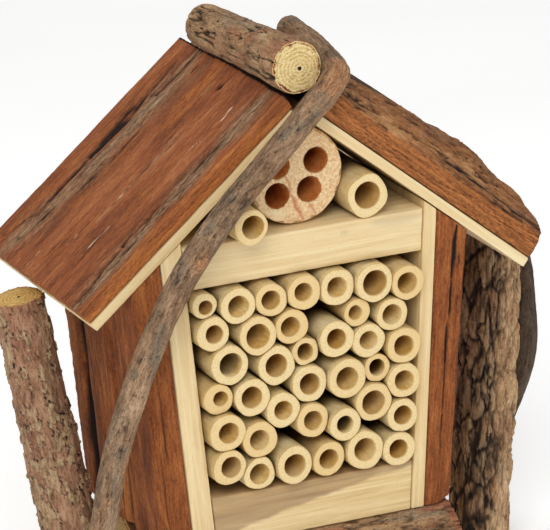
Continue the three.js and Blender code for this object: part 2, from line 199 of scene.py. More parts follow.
# ---------------------------------------------------------------- meshes
class Shape:
    """A mesh in the making: grids of points, each with its grain place and its marks."""

    def __init__(self):
        self.points, self.grain, self.marks, self.faces, self.kinds = [], [], [], [], []
        self.count = 0

    def grid(self, points, grain, marks=None, kind=0, loop=False):
        """Adds rows and columns of points. kind picks each face's look; a loop joins the last column."""
        rows, columns = points.shape[:2]
        index = np.arange(rows * columns).reshape(rows, columns) + self.count
        if loop:
            index = np.concatenate([index, index[:, :1]], axis=1)
        corners = (index[:-1, :-1], index[:-1, 1:], index[1:, 1:], index[1:, :-1])
        faces = np.stack(corners, axis=-1)
        kinds = np.broadcast_to(np.asarray(kind), faces.shape[:2])
        self.add(points.reshape(-1, 3), grain.reshape(-1, 3), marks, faces.reshape(-1, 4), kinds.ravel())

    def rings(self, rows, grain, marks, kinds):
        """A closed band round each step from one ring of points to the next."""
        kinds = np.array(kinds[1:])[:, None]
        self.grid(np.array(rows), np.array(grain), np.array(marks), kinds, loop=True)

    def add(self, points, grain, marks, faces, kinds):
        self.points.append(points)
        self.grain.append(grain)
        self.marks.append(np.zeros_like(points) if marks is None else marks.reshape(-1, 3))
        self.faces.extend(faces.tolist())
        self.kinds.append(np.broadcast_to(kinds, len(faces)))
        self.count += len(points)

    def make(self, node, slot, looks, sharp=50):
        """Turns the grids into one closed piece that stands for a CAD node."""
        name = node + "_look"
        mesh = bpy.data.meshes.new(name)
        mesh.from_pydata(metres(np.concatenate(self.points)).tolist(), [], self.faces)
        for label, values in (("grain", self.grain), ("marks", self.marks)):
            layer = mesh.attributes.new(label, "FLOAT_VECTOR", "POINT")
            layer.data.foreach_set("vector", np.concatenate(values).astype(np.float32).ravel())
        mesh.polygons.foreach_set("material_index", np.concatenate(self.kinds).astype(np.int32))
        for look in looks:
            mesh.materials.append(look)
        work = bmesh.new()
        work.from_mesh(mesh)
        bmesh.ops.remove_doubles(work, verts=work.verts, dist=2e-6)
        bmesh.ops.recalc_face_normals(work, faces=work.faces)
        for face in work.faces:
            face.smooth = True
        work.to_mesh(mesh)
        work.free()
        mesh.set_sharp_from_angle(angle=math.radians(sharp))
        piece = bpy.data.objects.new(name, mesh)
        bpy.context.scene.collection.objects.link(piece)
        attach(piece, "root")
        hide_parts(node)
        return piece


def divisions(length, cell, edge):
    """Where a side of a box is divided, with a line near each end for its rounded edge."""
    count = max(2, round((length - 2 * edge) / cell) + 1)
    return np.concatenate([[0.0], np.linspace(edge, length - edge, count), [length]])


def box_shape(size, cells, edge, place, marks=None):
    """A box with divided faces and rounded edges. place and marks take shares of its sides."""
    shape = Shape()
    size = np.array(size, float)
    lines = [divisions(size[k], cells[k], edge) for k in range(3)]
    for axis in range(3):
        first, second = [k for k in range(3) if k != axis]
        for side in (0.0, size[axis]):
            spot = np.zeros((len(lines[first]), len(lines[second]), 3))
            spot[..., first] = lines[first][:, None]
            spot[..., second] = lines[second][None, :]
            spot[..., axis] = side
            ends = (spot <= 0) | (spot >= size)
            corner = ends.sum(axis=-1, keepdims=True)
            pull = np.where(corner == 2, 0.29, np.where(corner == 3, 0.42, 0.0)) * edge
            spot = np.where(ends, np.where(spot <= 0, pull, size - pull), spot)
            share = spot / size
            shape.grid(place(share), spot, None if marks is None else marks(share))
    return shape


def corner_points(node, across, along, up):
    """The eight corners of a CAD board, ordered by the three directions."""
    found = np.unique(np.round(node_points(node), 3), axis=0)
    picked = []
    for layer in np.split(found[np.argsort(found @ up)], 2):
        for row in np.split(layer[np.argsort(layer @ along)], 2):
            picked.append(row[np.argsort(row @ across)])
    return np.array(picked).reshape(2, 2, 2, 3)


def between(corners, share):
    """A point inside eight corners by its three shares: across, along, up."""
    u, v, w = (share[..., k, None] for k in range(3))
    low = (corners[0, 0, 0] * (1 - u) + corners[0, 0, 1] * u) * (1 - v)
    low = low + (corners[0, 1, 0] * (1 - u) + corners[0, 1, 1] * u) * v
    high = (corners[1, 0, 0] * (1 - u) + corners[1, 0, 1] * u) * (1 - v)
    high = high + (corners[1, 1, 0] * (1 - u) + corners[1, 1, 1] * u) * v
    return low * (1 - w) + high * w


def spline(points, spacing):
    """Evenly spaced points on a smooth curve through the given ones."""
    p = np.asarray(points, float)
    p = np.vstack([2 * p[0] - p[1], p, 2 * p[-1] - p[-2]])
    knots = np.concatenate([[0], np.cumsum(np.linalg.norm(np.diff(p, axis=0), axis=1) ** 0.5)])
    run = []
    for i in range(1, len(p) - 2):
        t0, t1, t2, t3 = knots[i - 1:i + 3]
        t = np.linspace(t1, t2, 40, endpoint=False)[:, None]
        a = ((t1 - t) * p[i - 1] + (t - t0) * p[i]) / (t1 - t0)
        b = ((t2 - t) * p[i] + (t - t1) * p[i + 1]) / (t2 - t1)
        c = ((t3 - t) * p[i + 1] + (t - t2) * p[i + 2]) / (t3 - t2)
        ab = ((t2 - t) * a + (t - t0) * b) / (t2 - t0)
        bc = ((t3 - t) * b + (t - t1) * c) / (t3 - t1)
        run.append(((t2 - t) * ab + (t - t1) * bc) / (t2 - t1))
    run = np.vstack(run + [p[-2:-1]])
    along = np.concatenate([[0], np.cumsum(np.linalg.norm(np.diff(run, axis=0), axis=1))])
    even = np.linspace(0, along[-1], round(along[-1] / spacing) + 1)
    return np.stack([np.interp(even, along, run[:, k]) for k in range(3)], axis=-1)


class Round:
    """A round body along a path: a log, post or branch."""

    def __init__(self, path, sides, radius):
        self.path = np.asarray(path, float)
        steps = np.linalg.norm(np.diff(self.path, axis=0), axis=1)
        self.along = np.concatenate([[0], np.cumsum(steps)])
        self.length = self.along[-1]
        self.angle = np.arange(sides) * TURN / sides
        self.tangent = np.gradient(self.path, axis=0)
        self.tangent /= np.linalg.norm(self.tangent, axis=1)[:, None]
        self.side = np.zeros_like(self.path)
        guess = np.array([1.0, 0, 0]) if abs(self.tangent[0][0]) < 0.8 else np.array([0, 1.0, 0])
        for i, ahead in enumerate(self.tangent):
            guess = guess - ahead * (guess @ ahead)
            guess = guess / np.linalg.norm(guess)
            self.side[i] = guess
        self.other = np.cross(self.tangent, self.side)
        self.turned = np.stack([np.cos(self.angle), np.sin(self.angle)], axis=-1)
        self.grain = self.straight(np.broadcast_to(radius, (len(self.path), sides)), self.along)

    def straight(self, radius, along):
        """Where points would be if the body were straight along z."""
        flat = radius[..., None] * self.turned
        height = np.broadcast_to(np.asarray(along)[:, None, None], (*flat.shape[:2], 1))
        return np.concatenate([flat, height], axis=-1)

    def outwards(self, i):
        return self.turned[:, :1] * self.side[i] + self.turned[:, 1:] * self.other[i]

    def build(self, radius, marks, sawn=(False, False), relief=0.15, rings=14, seed=0, tilt=None):
        """radius and marks are given for each point. A sawn end gets the second look and a rough face."""
        radius = np.array(radius, float)
        shares = np.linspace(0, 1, rings)[:-1]
        parts, grains, paints, kinds = [], [], [], []
        for end, flag in ((0, sawn[0]), (-1, sawn[1])):
            if flag:
                radius[end] -= 0.25
            reach = shares[:, None] * radius[end]
            height = np.full(len(shares), self.along[end])
            grain = self.straight(reach, height)
            rough = relief * fractal(grain + 40, (0.9, 0.9, 9), seed + 5, 3) if flag else 0 * reach
            points = self.path[end] + reach[..., None] * self.outwards(end)
            points = points + rough[..., None] * self.tangent[end]
            paint = np.zeros_like(points)
            paint[..., 1] = shares[:, None]
            if not flag:
                paint = np.broadcast_to(marks[end], points.shape)
            order = slice(None) if end == 0 else slice(None, None, -1)
            parts.append(points[order])
            grains.append(grain[order])
            paints.append(paint[order])
            kinds.append(np.full(len(shares), int(flag)))
        cosine, sine = self.turned[None, :, :1], self.turned[None, :, 1:]
        spokes = cosine * self.side[:, None] + sine * self.other[:, None]
        side = self.path[:, None] + radius[..., None] * spokes
        shape = Shape()
        points = np.concatenate([parts[0], side, parts[1]])
        grain = np.concatenate([grains[0], self.grain, grains[1]])
        paint = np.concatenate([paints[0], marks, paints[1]])
        kind = np.concatenate([kinds[0], np.zeros(len(side) - 1, int), kinds[1]])
        if tilt is not None:
            points = tilt(points)
        shape.grid(points, grain, paint, kind[:, None], loop=True)
        return shape


def marks_of(dark, grey=0.0, warm=0.0):
    """The three marks that the looks read: dark (or pale, below 0), grey, and warm."""
    dark = np.asarray(dark, float)
    return np.stack([dark, np.broadcast_to(grey, dark.shape), np.broadcast_to(warm, dark.shape)], axis=-1)


# ---------------------------------------------------------------- looks
def colour(text):
    """A linear colour from a hexadecimal display one."""
    parts = [int(text[i:i + 2], 16) / 255 for i in (0, 2, 4)]
    linear = [p / 12.92 if p < 0.04045 else ((p + 0.055) / 1.055) ** 2.4 for p in parts]
    return (*linear, 1.0)


class Look:
    """A procedural material, built from short calls."""

    def __init__(self, name):
        self.material = bpy.data.materials.new(name)
        self.material.use_nodes = True
        self.tree = self.material.node_tree
        self.surface = next(n for n in self.tree.nodes if n.type == "BSDF_PRINCIPLED")
        self.grain = self.add("Attribute", attribute_name="grain").outputs["Vector"]
        marks = self.add("Attribute", attribute_name="marks").outputs["Vector"]
        self.marks = self.add("SeparateXYZ", {0: marks}).outputs

    def add(self, kind, inputs=None, **settings):
        node = self.tree.nodes.new("ShaderNode" + kind)
        for key, value in settings.items():
            setattr(node, key, value)
        for key, value in (inputs or {}).items():
            if isinstance(value, bpy.types.NodeSocket):
                self.tree.links.new(value, node.inputs[key])
            else:
                node.inputs[key].default_value = value
        return node

    def stretched(self, fineness):
        return self.add("VectorMath", {0: self.grain, 1: fineness}, operation="MULTIPLY").outputs[0]

    def noise(self, fineness, detail=4.0, roughness=0.55, distortion=0.0):
        """Noise whose lumps are one over fineness millimetres wide along each axis."""
        inputs = {"Vector": self.stretched(fineness), "Scale": 1.0, "Detail": detail,
                  "Roughness": roughness, "Distortion": distortion}
        return self.add("TexNoise", inputs).outputs["Fac"]

    def cells(self, fineness):
        """Distance from the nearest of many scattered dots."""
        inputs = {"Vector": self.stretched(fineness), "Scale": 1.0}
        return self.add("TexVoronoi", inputs).outputs["Distance"]

    def sum(self, *parts):
        """A weighted sum of (weight, value) pairs."""
        total = 0.0
        for weight, value in parts:
            total = self.math("MULTIPLY_ADD", value, weight, total)
        return total

    def math(self, operation, *values, clamp=False):
        return self.add("Math", dict(enumerate(values)), operation=operation, use_clamp=clamp).outputs[0]

    def step(self, value, low, high, start=0.0, end=1.0):
        """Goes smoothly from start to end as the value goes from low to high."""
        inputs = {0: value, 1: low, 2: high, 3: start, 4: end}
        return self.add("MapRange", inputs, interpolation_type="SMOOTHSTEP").outputs[0]

    def ramp(self, value, stops):
        """A colour for each value, through (value, hexadecimal colour) stops."""
        node = self.add("ValToRGB", {0: value})
        elements = node.color_ramp.elements
        while len(elements) < len(stops):
            elements.new(0.5)
        for element, (place, text) in zip(elements, stops):
            element.position = place
            element.color = colour(text)
        return node.outputs[0]

    def blend(self, factor, first, second):
        """first where the factor is 0 and second where it is 1."""
        node = self.add("Mix", data_type="RGBA")
        for key, value in ((0, factor), (6, first), (7, second)):
            if isinstance(value, str):
                value = colour(value)
            if isinstance(value, bpy.types.NodeSocket):
                self.tree.links.new(value, node.inputs[key])
            else:
                node.inputs[key].default_value = value
        return node.outputs[2]

    def finish(self, tint, roughness, height, depth):
        """tint and roughness are sockets; height times depth, in millimetres, is the relief."""
        self.tree.links.new(tint, self.surface.inputs["Base Color"])
        self.tree.links.new(roughness, self.surface.inputs["Roughness"])
        inputs = {"Strength": 1.0, "Distance": depth * MM, "Height": height}
        bump = self.add("Bump", inputs).outputs[0]
        self.tree.links.new(bump, self.surface.inputs["Normal"])
        self.surface.inputs["Specular IOR Level"].default_value = 0.3
        return self.material


def bark_look(name, tones, grey, warm, dark, pale, run, crack=0.5, depth=0.35, spots=0.0):
    """Bark whose streaks are run times as long as wide. tones go from dark to light."""
    look = Look(name)
    broad = look.noise((0.11, 0.11, 0.11 / run * 2), 3.0, 0.5, 0.4)
    streak = look.noise((0.8, 0.8, 0.8 / run), 6.0, 0.7, 0.2)
    fine = look.noise((2.6, 2.6, 5.0 / run), 5.0, 0.7)
    grit = look.noise((1.7, 1.7, 0.6), 5.0, 0.75)
    value = look.sum((0.3, broad), (0.32, streak), (0.2, fine), (0.2, grit))
    tint = look.ramp(value, tones)
    greyed = look.math("MULTIPLY", look.marks[1], look.step(streak, 0.3, 0.62, 0.55, 1.0), clamp=True)
    patchy = look.sum((0.4, streak), (0.3, fine), (0.3, grit))
    grey_tone = look.ramp(patchy, [(0.42, grey[0]), (0.58, grey[1])])
    tint = look.blend(greyed, tint, grey_tone)
    warmed = look.math("MULTIPLY", look.marks[2], look.step(streak, 0.25, 0.6, 0.7, 1.0), clamp=True)
    warm_tone = look.ramp(patchy, [(0.43, warm[0]), (0.57, warm[1])])
    tint = look.blend(warmed, tint, warm_tone)
    thread = look.noise((1.5, 1.5, 1.5 / run), 5.0, 0.7, 0.3)
    cracked = look.step(thread, 0.43, 0.33, 0.0, crack)
    tint = look.blend(cracked, tint, dark)
    if spots:
        pit = look.math("MULTIPLY", look.step(look.cells((1.1, 1.1, 0.8)), 0.3, 0.08), spots)
        tint = look.blend(pit, tint, dark)
    tint = look.blend(look.step(look.marks[0], 0.08, 0.75), tint, dark)
    tint = look.blend(look.step(look.marks[0], -0.1, -0.8), tint, pale)
    height = look.sum((0.5, streak), (0.35, fine), (0.35, thread), (0.3, grit))
    roughness = look.step(fine, 0.2, 0.8, 0.72, 0.95)
    return look.finish(tint, roughness, height, depth)


def board_look():
    """Cream softwood with faint grain, pores and small fibres. A dark mark is a stain on the floor bar and
    painted shade at the roof boards' ridge ends.
    """
    look = Look("pale_board")
    broad = look.noise((0.05, 0.05, 0.012), 3.0, 0.5)
    line = look.noise((0.55, 0.55, 0.02), 4.0, 0.55, 0.6)
    fibre = look.noise((4.0, 4.0, 0.25), 4.0, 0.65)
    value = look.sum((0.35, broad), (0.45, line), (0.2, fibre))
    tint = look.ramp(value, [(0.34, "c9a771"), (0.45, "dfc38e"), (0.54, "ebd3a2"), (0.66, "f1dfb3")])
    ring = look.step(look.noise((0.3, 0.3, 0.012), 2.0, 0.5, 1.2), 0.47, 0.53)
    tint = look.blend(look.math("MULTIPLY", ring, 0.16), tint, "c69a5c")
    pore = look.step(look.cells((1.3, 1.3, 0.35)), 0.16, 0.04, 0.0, 0.35)
    tint = look.blend(pore, tint, "a9814d")
    # Dark mark: a real stain on the floor bar, and painted shade at the roof boards' ridge ends.
    stain_and_shade = look.math("MULTIPLY", look.marks[0], look.step(line, 0.3, 0.6, 0.6, 1.0), clamp=True)
    tint = look.blend(stain_and_shade, tint, "8d6a4b")
    tint = look.blend(look.math("MULTIPLY", look.marks[1], 0.8, clamp=True), tint, "a4947e")
    # Third mark: nail dots, and painted shade at the roof boards' ridge ends.
    spot = look.step(look.marks[2], 0.3, 0.8)
    tint = look.blend(spot, tint, "6b4a2c")
    height = look.sum((0.6, line), (0.5, fibre))
    return look.finish(tint, look.step(fibre, 0.2, 0.8, 0.55, 0.75), height, 0.12)


def cut_look(name, light, mid, deep, rim, pith):
    """A sawn end: rings round the pith, saw marks, and a coloured rim. marks[1] runs from 0 to 1 outwards."""
    look = Look(name)
    middle = look.add("VectorMath", {0: look.grain, 1: (*pith, 0.0)}, operation="SUBTRACT").outputs[0]
    flat = look.add("VectorMath", {0: middle, 1: (1.0, 1.0, 0.0)}, operation="MULTIPLY").outputs[0]
    distance = look.add("VectorMath", {0: flat}, operation="LENGTH").outputs["Value"]
    wobble = look.noise((0.35, 0.35, 0.1), 3.0, 0.6)
    ring = look.math("SINE", look.sum((5.2, distance), (7.0, wobble)))
    grit = look.noise((2.6, 2.6, 0.6), 5.0, 0.7)
    saw = look.noise((0.5, 3.2, 0.5), 3.0, 0.6, 0.8)
    value = look.sum((0.035, ring), (0.55, grit), (0.4, saw))
    tint = look.ramp(value, [(0.34, deep), (0.44, mid), (0.54, light)])
    speck = look.step(look.noise((1.9, 1.9, 0.5), 4.0, 0.7), 0.42, 0.34, 0.0, 0.6)
    tint = look.blend(speck, tint, deep)
    edge = look.sum((1.0, look.marks[1]), (0.4, wobble))
    tint = look.blend(look.step(edge, 1.08, 1.16), tint, rim)
    hole = look.step(look.sum((1.0, distance), (0.9, wobble)), 1.15, 0.85)
    tint = look.blend(hole, tint, "24160d")
    height = look.sum((0.12, ring), (0.6, grit), (0.35, saw))
    return look.finish(tint, look.step(grit, 0.2, 0.8, 0.6, 0.85), height, 0.3)


def cane_look(name, tones, depth, fineness=0.14):
    """Bamboo: fine lengthwise fibres over soft patches."""
    look = Look(name)
    patch = look.noise((0.12, 0.12, 0.06), 3.0, 0.6)
    fibre = look.noise((2.4, 2.4, fineness), 5.0, 0.65)
    value = look.sum((0.55, patch), (0.45, fibre))
    tint = look.ramp(value, tones)
    smudge = look.step(look.noise((0.4, 0.4, 0.2), 4.0, 0.7), 0.58, 0.74, 0.0, 0.25)
    tint = look.blend(smudge, tint, "a98a4e")
    # The first mark paints shade: inside bores, down drilled holes and on skins between tubes.
    tint = look.blend(look.marks[0], tint, "3a240f")
    tint = look.blend(look.marks[1], tint, "c08f3e")
    return look.finish(tint, look.step(fibre, 0.2, 0.8, 0.38, 0.6), fibre, depth)


def cane_end_look():
    """Sawn bamboo: faint dots of fibre, with a darker tone near the skin and near the bore."""
    look = Look("cane_end")
    dots = look.cells((3.4, 3.4, 1.0))
    grit = look.noise((1.6, 1.6, 0.6), 5.0, 0.7)
    value = look.sum((0.05, dots), (0.8, grit))
    tint = look.ramp(value, [(0.22, "d2b277"), (0.4, "e8ce97"), (0.6, "efdcae")])
    golden = look.math("MULTIPLY", look.marks[2], look.step(grit, 0.3, 0.6, 0.5, 1.0), clamp=True)
    tint = look.blend(golden, tint, "dcb066")
    tint = look.blend(look.step(look.marks[1], 0.72, 1.0, 0.0, 0.3), tint, "c9ab6e")
    tint = look.blend(look.step(look.marks[1], 0.12, 0.0, 0.0, 0.5), tint, "c39c5c")
    return look.finish(tint, look.step(grit, 0.2, 0.8, 0.6, 0.8), look.sum((0.1, dots), (0.7, grit)), 0.08)


def block_look():
    """Pinkish end grain full of fine pores, with reddish ring lines."""
    look = Look("block_end")
    pores = look.cells((1.6, 1.6, 0.3))
    fine = look.cells((2.6, 2.6, 0.3))
    grit = look.noise((0.9, 0.9, 0.2), 5.0, 0.65)
    tint = look.ramp(grit, [(0.36, "dcb17f"), (0.5, "ecca9a"), (0.62, "f4dcb3")])
    tint = look.blend(look.step(pores, 0.3, 0.12, 0.0, 0.8), tint, "b0733f")
    tint = look.blend(look.step(fine, 0.3, 0.1, 0.0, 0.55), tint, "bf8550")
    tint = look.blend(look.math("MULTIPLY", look.marks[0], 0.75, clamp=True), tint, "b5552c")
    tint = look.blend(look.math("MULTIPLY", look.marks[1], 0.8, clamp=True), tint, "f3dfb4")
    return look.finish(tint, look.step(grit, 0.2, 0.8, 0.65, 0.85), look.sum((0.6, pores), (0.4, fine)), 0.22)


ROOF_BARK = bark_look(
    "roof_bark_left",
    [(0.38, "4d2814"), (0.46, "7d4527"), (0.54, "a05c35"), (0.64, "bd7d4e")],
    ("5f4b37", "b79c79"), ("8e4a20", "c47a3c"), "1c100a", "e6cfae", 9, crack=0.45, depth=0.5,
)
ROUGH_BARK = bark_look(
    "roof_bark_right",
    [(0.4, "4a2b18"), (0.47, "7f5130"), (0.53, "a66f43"), (0.62, "cc9e6a")],
    ("6c5544", "a5836a"), ("64320f", "c27a42"), "180d08", "d2b184", 9, crack=0.75, depth=0.6,
)
WALL_BARK = bark_look(
    "wall_bark",
    [(0.4, "431f0c"), (0.47, "743c1b"), (0.53, "97552a"), (0.62, "b9763f")],
    ("513b28", "866445"), ("6c3413", "a8642e"), "180c07", "d9b27c", 11, crack=0.55, depth=0.4,
)
GREY_BARK = bark_look(
    "branch_bark",
    [(0.41, "433226"), (0.47, "785c44"), (0.54, "9c7d5f"), (0.62, "c5a687")],
    ("53463a", "94816a"), ("885a3b", "c09166"), "1d130d", "d6c4a6", 4, crack=0.6, depth=0.45, spots=0.55,
)
LOG_BARK = bark_look(
    "ridge_bark",
    [(0.4, "5a4029"), (0.47, "8d6b4c"), (0.53, "b18c64"), (0.62, "cfb088")],
    ("6e5f4c", "a5917a"), ("8a4f30", "b3785a"), "1f140d", "cdbb9f", 3, crack=0.55, depth=0.4, spots=0.6,
)
POST_BARK = bark_look(
    "post_bark",
    [(0.4, "55382a"), (0.47, "885f46"), (0.53, "a98063"), (0.62, "c6a283")],
    ("8a7350", "cdb78d"), ("8a5942", "b8896a"), "33211a", "dcc9a2", 3, crack=0.6, depth=0.45, spots=0.35,
)
DARK_BARK = bark_look(
    "right_post_bark",
    [(0.4, "523826"), (0.47, "8d6a4b"), (0.53, "bb966f"), (0.62, "e0c298")],
    ("8a6f4a", "d6b887"), ("8d6142", "c1946a"), "1c100a", "dcc9a2", 4, crack=0.6, depth=0.5, spots=0.2,
)
# The branch bark made darker all over, as painted shade for the branch that stands behind the house.
SHADED_REAR_BARK = bark_look(
    "rear_branch_bark_shaded",
    [(0.4, "251a11"), (0.47, "3f2f23"), (0.53, "574332"), (0.62, "77604a")],
    ("3c342d", "665b4e"), ("5c3b28", "80583c"), "140d09", "a08f78", 4, crack=0.6, depth=0.45, spots=0.5,
)
PALE_BOARD = board_look()
LOG_END = cut_look("log_end", "f3dfa8", "dfbf7c", "a87a3c", "7c3f1c", (0.9, -0.5))
POST_END = cut_look("post_end", "eccb85", "cfa355", "8f6530", "a8602c", (0.0, 0.5))
CANE = cane_look("cane_skin", [(0.34, "d3b679"), (0.46, "e5cd95"), (0.56, "f0deae"), (0.68, "f6e8c2")], 0.1)
CANE_BORE = cane_look("cane_bore", [(0.36, "d4a954"), (0.48, "eecf8a"), (0.6, "fae8ba")], 0.1, 0.3)
CANE_END = cane_end_look()
BLOCK_END = block_look()
BLOCK_HOLE = cane_look("drilled_wall", [(0.36, "a8551f"), (0.48, "d08040"), (0.6, "e9aa66")], 0.2, 2.0)


# ---------------------------------------------------------------- boards
def long_grain(shape, axis):
    """Turns the grain of a box so that its fibres run along one of its sides."""
    order = {0: [1, 2, 0], 1: [0, 2, 1], 2: [0, 1, 2]}[axis]
    shape.grain = [g[:, order] for g in shape.grain]
    return shape


def board(node, across, along, up, fibres, cells, seed, marks=None):
    """A sawn board inside the eight corners of its CAD node."""
    corners = corner_points(node, np.array(across, float), np.array(along, float), np.array(up, float))
    size = [np.linalg.norm(corners[0, 0, 1] - corners[0, 0, 0]),
            np.linalg.norm(corners[0, 1, 0] - corners[0, 0, 0]),
            np.linalg.norm(corners[1, 0, 0] - corners[0, 0, 0])]
    centre = corners.reshape(-1, 3).mean(axis=0)

    def place(share):
        points = between(corners, share)
        rough = fractal(points + 7 * seed, 2.2, seed, 4) - 0.7
        inwards = centre - points
        inwards = inwards / np.linalg.norm(inwards, axis=-1, keepdims=True)
        edge = ((share < 0.02) | (share > 0.98)).sum(axis=-1) >= 2
        return points - inwards * (0.05 * rough + edge * 0.12 * rough)[..., None]

    shape = long_grain(box_shape(size, cells, BOARD_EDGE, place, marks), fibres)
    shape.grain = [g + 31.0 * seed for g in shape.grain]
    return shape.make(node, "pale_board", [PALE_BOARD])


def floor_bar_marks(share):
    """A grey-brown wedge of heartwood along the top of the bar, deepest at its left."""
    lean = 0.1 + 0.82 * share[..., 0] ** 0.75 + 0.025 * noise(share, (0.09, 1, 0.4), 3)
    grain = 0.85 + 0.25 * fractal(share, (0.3, 1, 0.07), 6, 3)
    return marks_of(smooth(-0.025, 0.03, share[..., 2] - lean) * 0.8 * grain)


def ridge_shade_marks(share):
    """The boards' ends along the ridge get painted shade."""
    return marks_of(0.6 * (share[..., 0] < 0.006), 0.0, share[..., 0] < 0.006)


def shelf_marks(share):
    """Nail dots, a faint knot and a greyer right end along the top."""
    place = share[..., [0, 2]] * (78, 13.6)
    dots = [((48.5, 4.2), (48.6, 4.2), 0.5, 1.0), ((54, 5.1), (54.1, 5.1), 0.45, 0.7),
            ((20, 6.5), (20.1, 6.5), 0.4, 0.5)]
    grey = strokes(place, [((62, 11.6), (77, 11.2), 2.0, 0.35), ((51, 10.2), (53, 10.2), 0.9, 0.4)])
    front = share[..., 1] < 0.02
    return marks_of(0.0 * place[..., 0], grey * front, strokes(place, dots) * front)


X, Y, Z = (1, 0, 0), (0, 1, 0), (0, 0, 1)
slope = {side: (side * math.cos(PITCH), 0, -math.sin(PITCH)) for side in (-1, 1)}
above = {side: (side * math.sin(PITCH), 0, math.cos(PITCH)) for side in (-1, 1)}
board("floor_bar", X, Y, Z, 0, (1.0, 4.0, 0.8), 1, floor_bar_marks)
board("shelf", X, Y, Z, 0, (1.0, 4.0, 0.8), 2, shelf_marks)
board("wall_left_board", X, Y, Z, 2, (0.9, 3.0, 1.2), 3)
board("wall_right_board", X, Y, Z, 2, (0.9, 3.0, 1.2), 4)
board("roof_left_board", slope[-1], Y, above[-1], 0, (1.0, 1.6, 0.5), 5, ridge_shade_marks)
board("roof_right_board", slope[1], Y, above[1], 0, (1.0, 1.6, 0.5), 6, ridge_shade_marks)


def inner_half_width(z):
    return HALF_WIDTH + FLARE * (z - HOUSE_BOTTOM)


def under_roof(distance):
    return RIDGE_HEIGHT - distance * math.tan(PITCH) - GAP / math.cos(PITCH)


def meets_roof(share, offset):
    """Height at which a leaning face, a share of the half width out plus an offset, meets the roof."""
    base = share * (HALF_WIDTH - FLARE * HOUSE_BOTTOM) + offset
    return (under_roof(0) - base * math.tan(PITCH)) / (1 + share * FLARE * math.tan(PITCH))


def back_board():
    """Fills the house's outline behind the tubes, up to the roof boards."""
    def place(share):
        out = 2 * share[..., 0] - 1
        top = meets_roof(np.abs(out), -GAP)
        z = HOUSE_BOTTOM + (top - HOUSE_BOTTOM) * share[..., 2]
        y = HOUSE_DEPTH - BACK_BOARD * (1 - share[..., 1])
        points = np.stack([out * (inner_half_width(z) - GAP), y, z], axis=-1)
        return points - (0.04 + 0.04 * fractal(points, 3.0, 70)[..., None]) * (0, 1, 0)

    shape = long_grain(box_shape((80, BACK_BOARD, WALL_HEIGHT), (1.6, 1.0, 1.6), BOARD_EDGE, place), 2)
    shape.make("back_board", "pale_board", [PALE_BOARD])


back_board()


# ---------------------------------------------------------------- bark slabs
def on_roof(side, down, y, height):
    """A point on a roof slope, from how far it is down the slope and how high above its underside."""
    x = down * math.cos(PITCH) + height * math.sin(PITCH)
    z = RIDGE_HEIGHT - down * math.sin(PITCH) + height * math.cos(PITCH)
    return np.stack([side * x, y, z], axis=-1)


# Lines on the left roof's bark: start and end as (down the slope, depth), half width, strength.
LEFT_DARK = [
    ((22, 69.6), (48, 68.4), 2.94, 1.0), ((4, 70.0), (26, 69.2), 0.98, 0.8),
    ((46, 68.2), (72, 69.0), 0.84, 0.95), ((70, 69.0), (86, 75.0), 0.63, 0.8),
    ((20, 57.0), (52, 56.0), 0.70, 0.7), ((0, 62.5), (20, 64.5), 0.84, 0.8),
    ((0, 57.0), (13, 58.5), 0.70, 0.7), ((6, 66.0), (24, 66.0), 0.63, 0.6),
    ((0, 73.5), (16, 73.0), 0.56, 0.5), ((20, 10.4), (48, 10.8), 0.63, 0.85),
    ((44, 10.6), (66, 12.2), 0.70, 0.95), ((62, 12.0), (80, 9.8), 0.70, 0.95),
    ((78, 9.8), (90, 8.4), 0.84, 0.9), ((60, 8.2), (76, 7.6), 0.49, 0.5),
    ((26, 32), (40, 32.5), 0.42, 0.55), ((4, 33.5), (10.5, 35.2), 0.70, 0.85),
    ((40, 33.6), (60, 33.0), 0.35, 0.5), ((52, 57.5), (80, 60), 0.42, 0.5),
    ((30, 50.5), (44, 49.5), 0.42, 0.4), ((16.9, 47.0), (17.4, 47.0), 1.82, 1.0),
    ((19, 47.2), (27, 48.0), 0.49, 0.6), ((62, 41), (84, 42), 0.35, 0.35), ((8, 44), (22, 45), 0.35, 0.4),
    ((47, 20), (60, 20.6), 0.35, 0.35),
]
LEFT_GREY = [
    ((2, 62.5), (40, 61.5), 6.4, 1.0), ((38, 61.5), (66, 62.5), 5.8, 1.0),
    ((60, 63.0), (90, 67.0), 6.4, 1.0), ((0, 9.4), (26, 9.2), 5.0, 1.0), ((24, 8.8), (50, 8.4), 4.0, 1.0),
    ((50, 8.4), (90, 6.8), 4.4, 1.0), ((22, 32.5), (50, 33.5), 1.0, 0.55),
    ((48, 33.5), (64, 33.0), 1.2, 0.4), ((8, 39), (14, 40), 1.6, 0.6), ((0, 53.5), (14, 54.5), 1.6, 0.5),
]
LEFT_WARM = [
    ((0, 1.4), (90, 1.0), 1.8, 0.9), ((2, 44), (26, 42), 5.5, 0.65), ((0, 73), (90, 74), 2.6, 0.35),
    ((30, 24), (60, 22), 4.0, 0.3), ((36, 53), (70, 54), 2.0, 0.45),
]
LEFT_PALE = [
    ((10, 19.5), (18, 18.6), 0.22, 1.0), ((23, 18.6), (31, 21.0), 0.16, 0.7),
    ((63, 24.5), (73, 25.0), 0.18, 0.9), ((81, 48.0), (88.5, 46.8), 0.25, 1.0),
    ((50, 33.0), (56, 33.6), 0.2, 0.7), ((35, 33.2), (40, 33.2), 0.2, 0.6),
    ((70, 36.0), (76, 36.6), 0.14, 0.6), ((26, 27.0), (29, 27.6), 0.14, 0.5),
    ((84, 6.0), (90, 4.4), 0.2, 0.6),
]


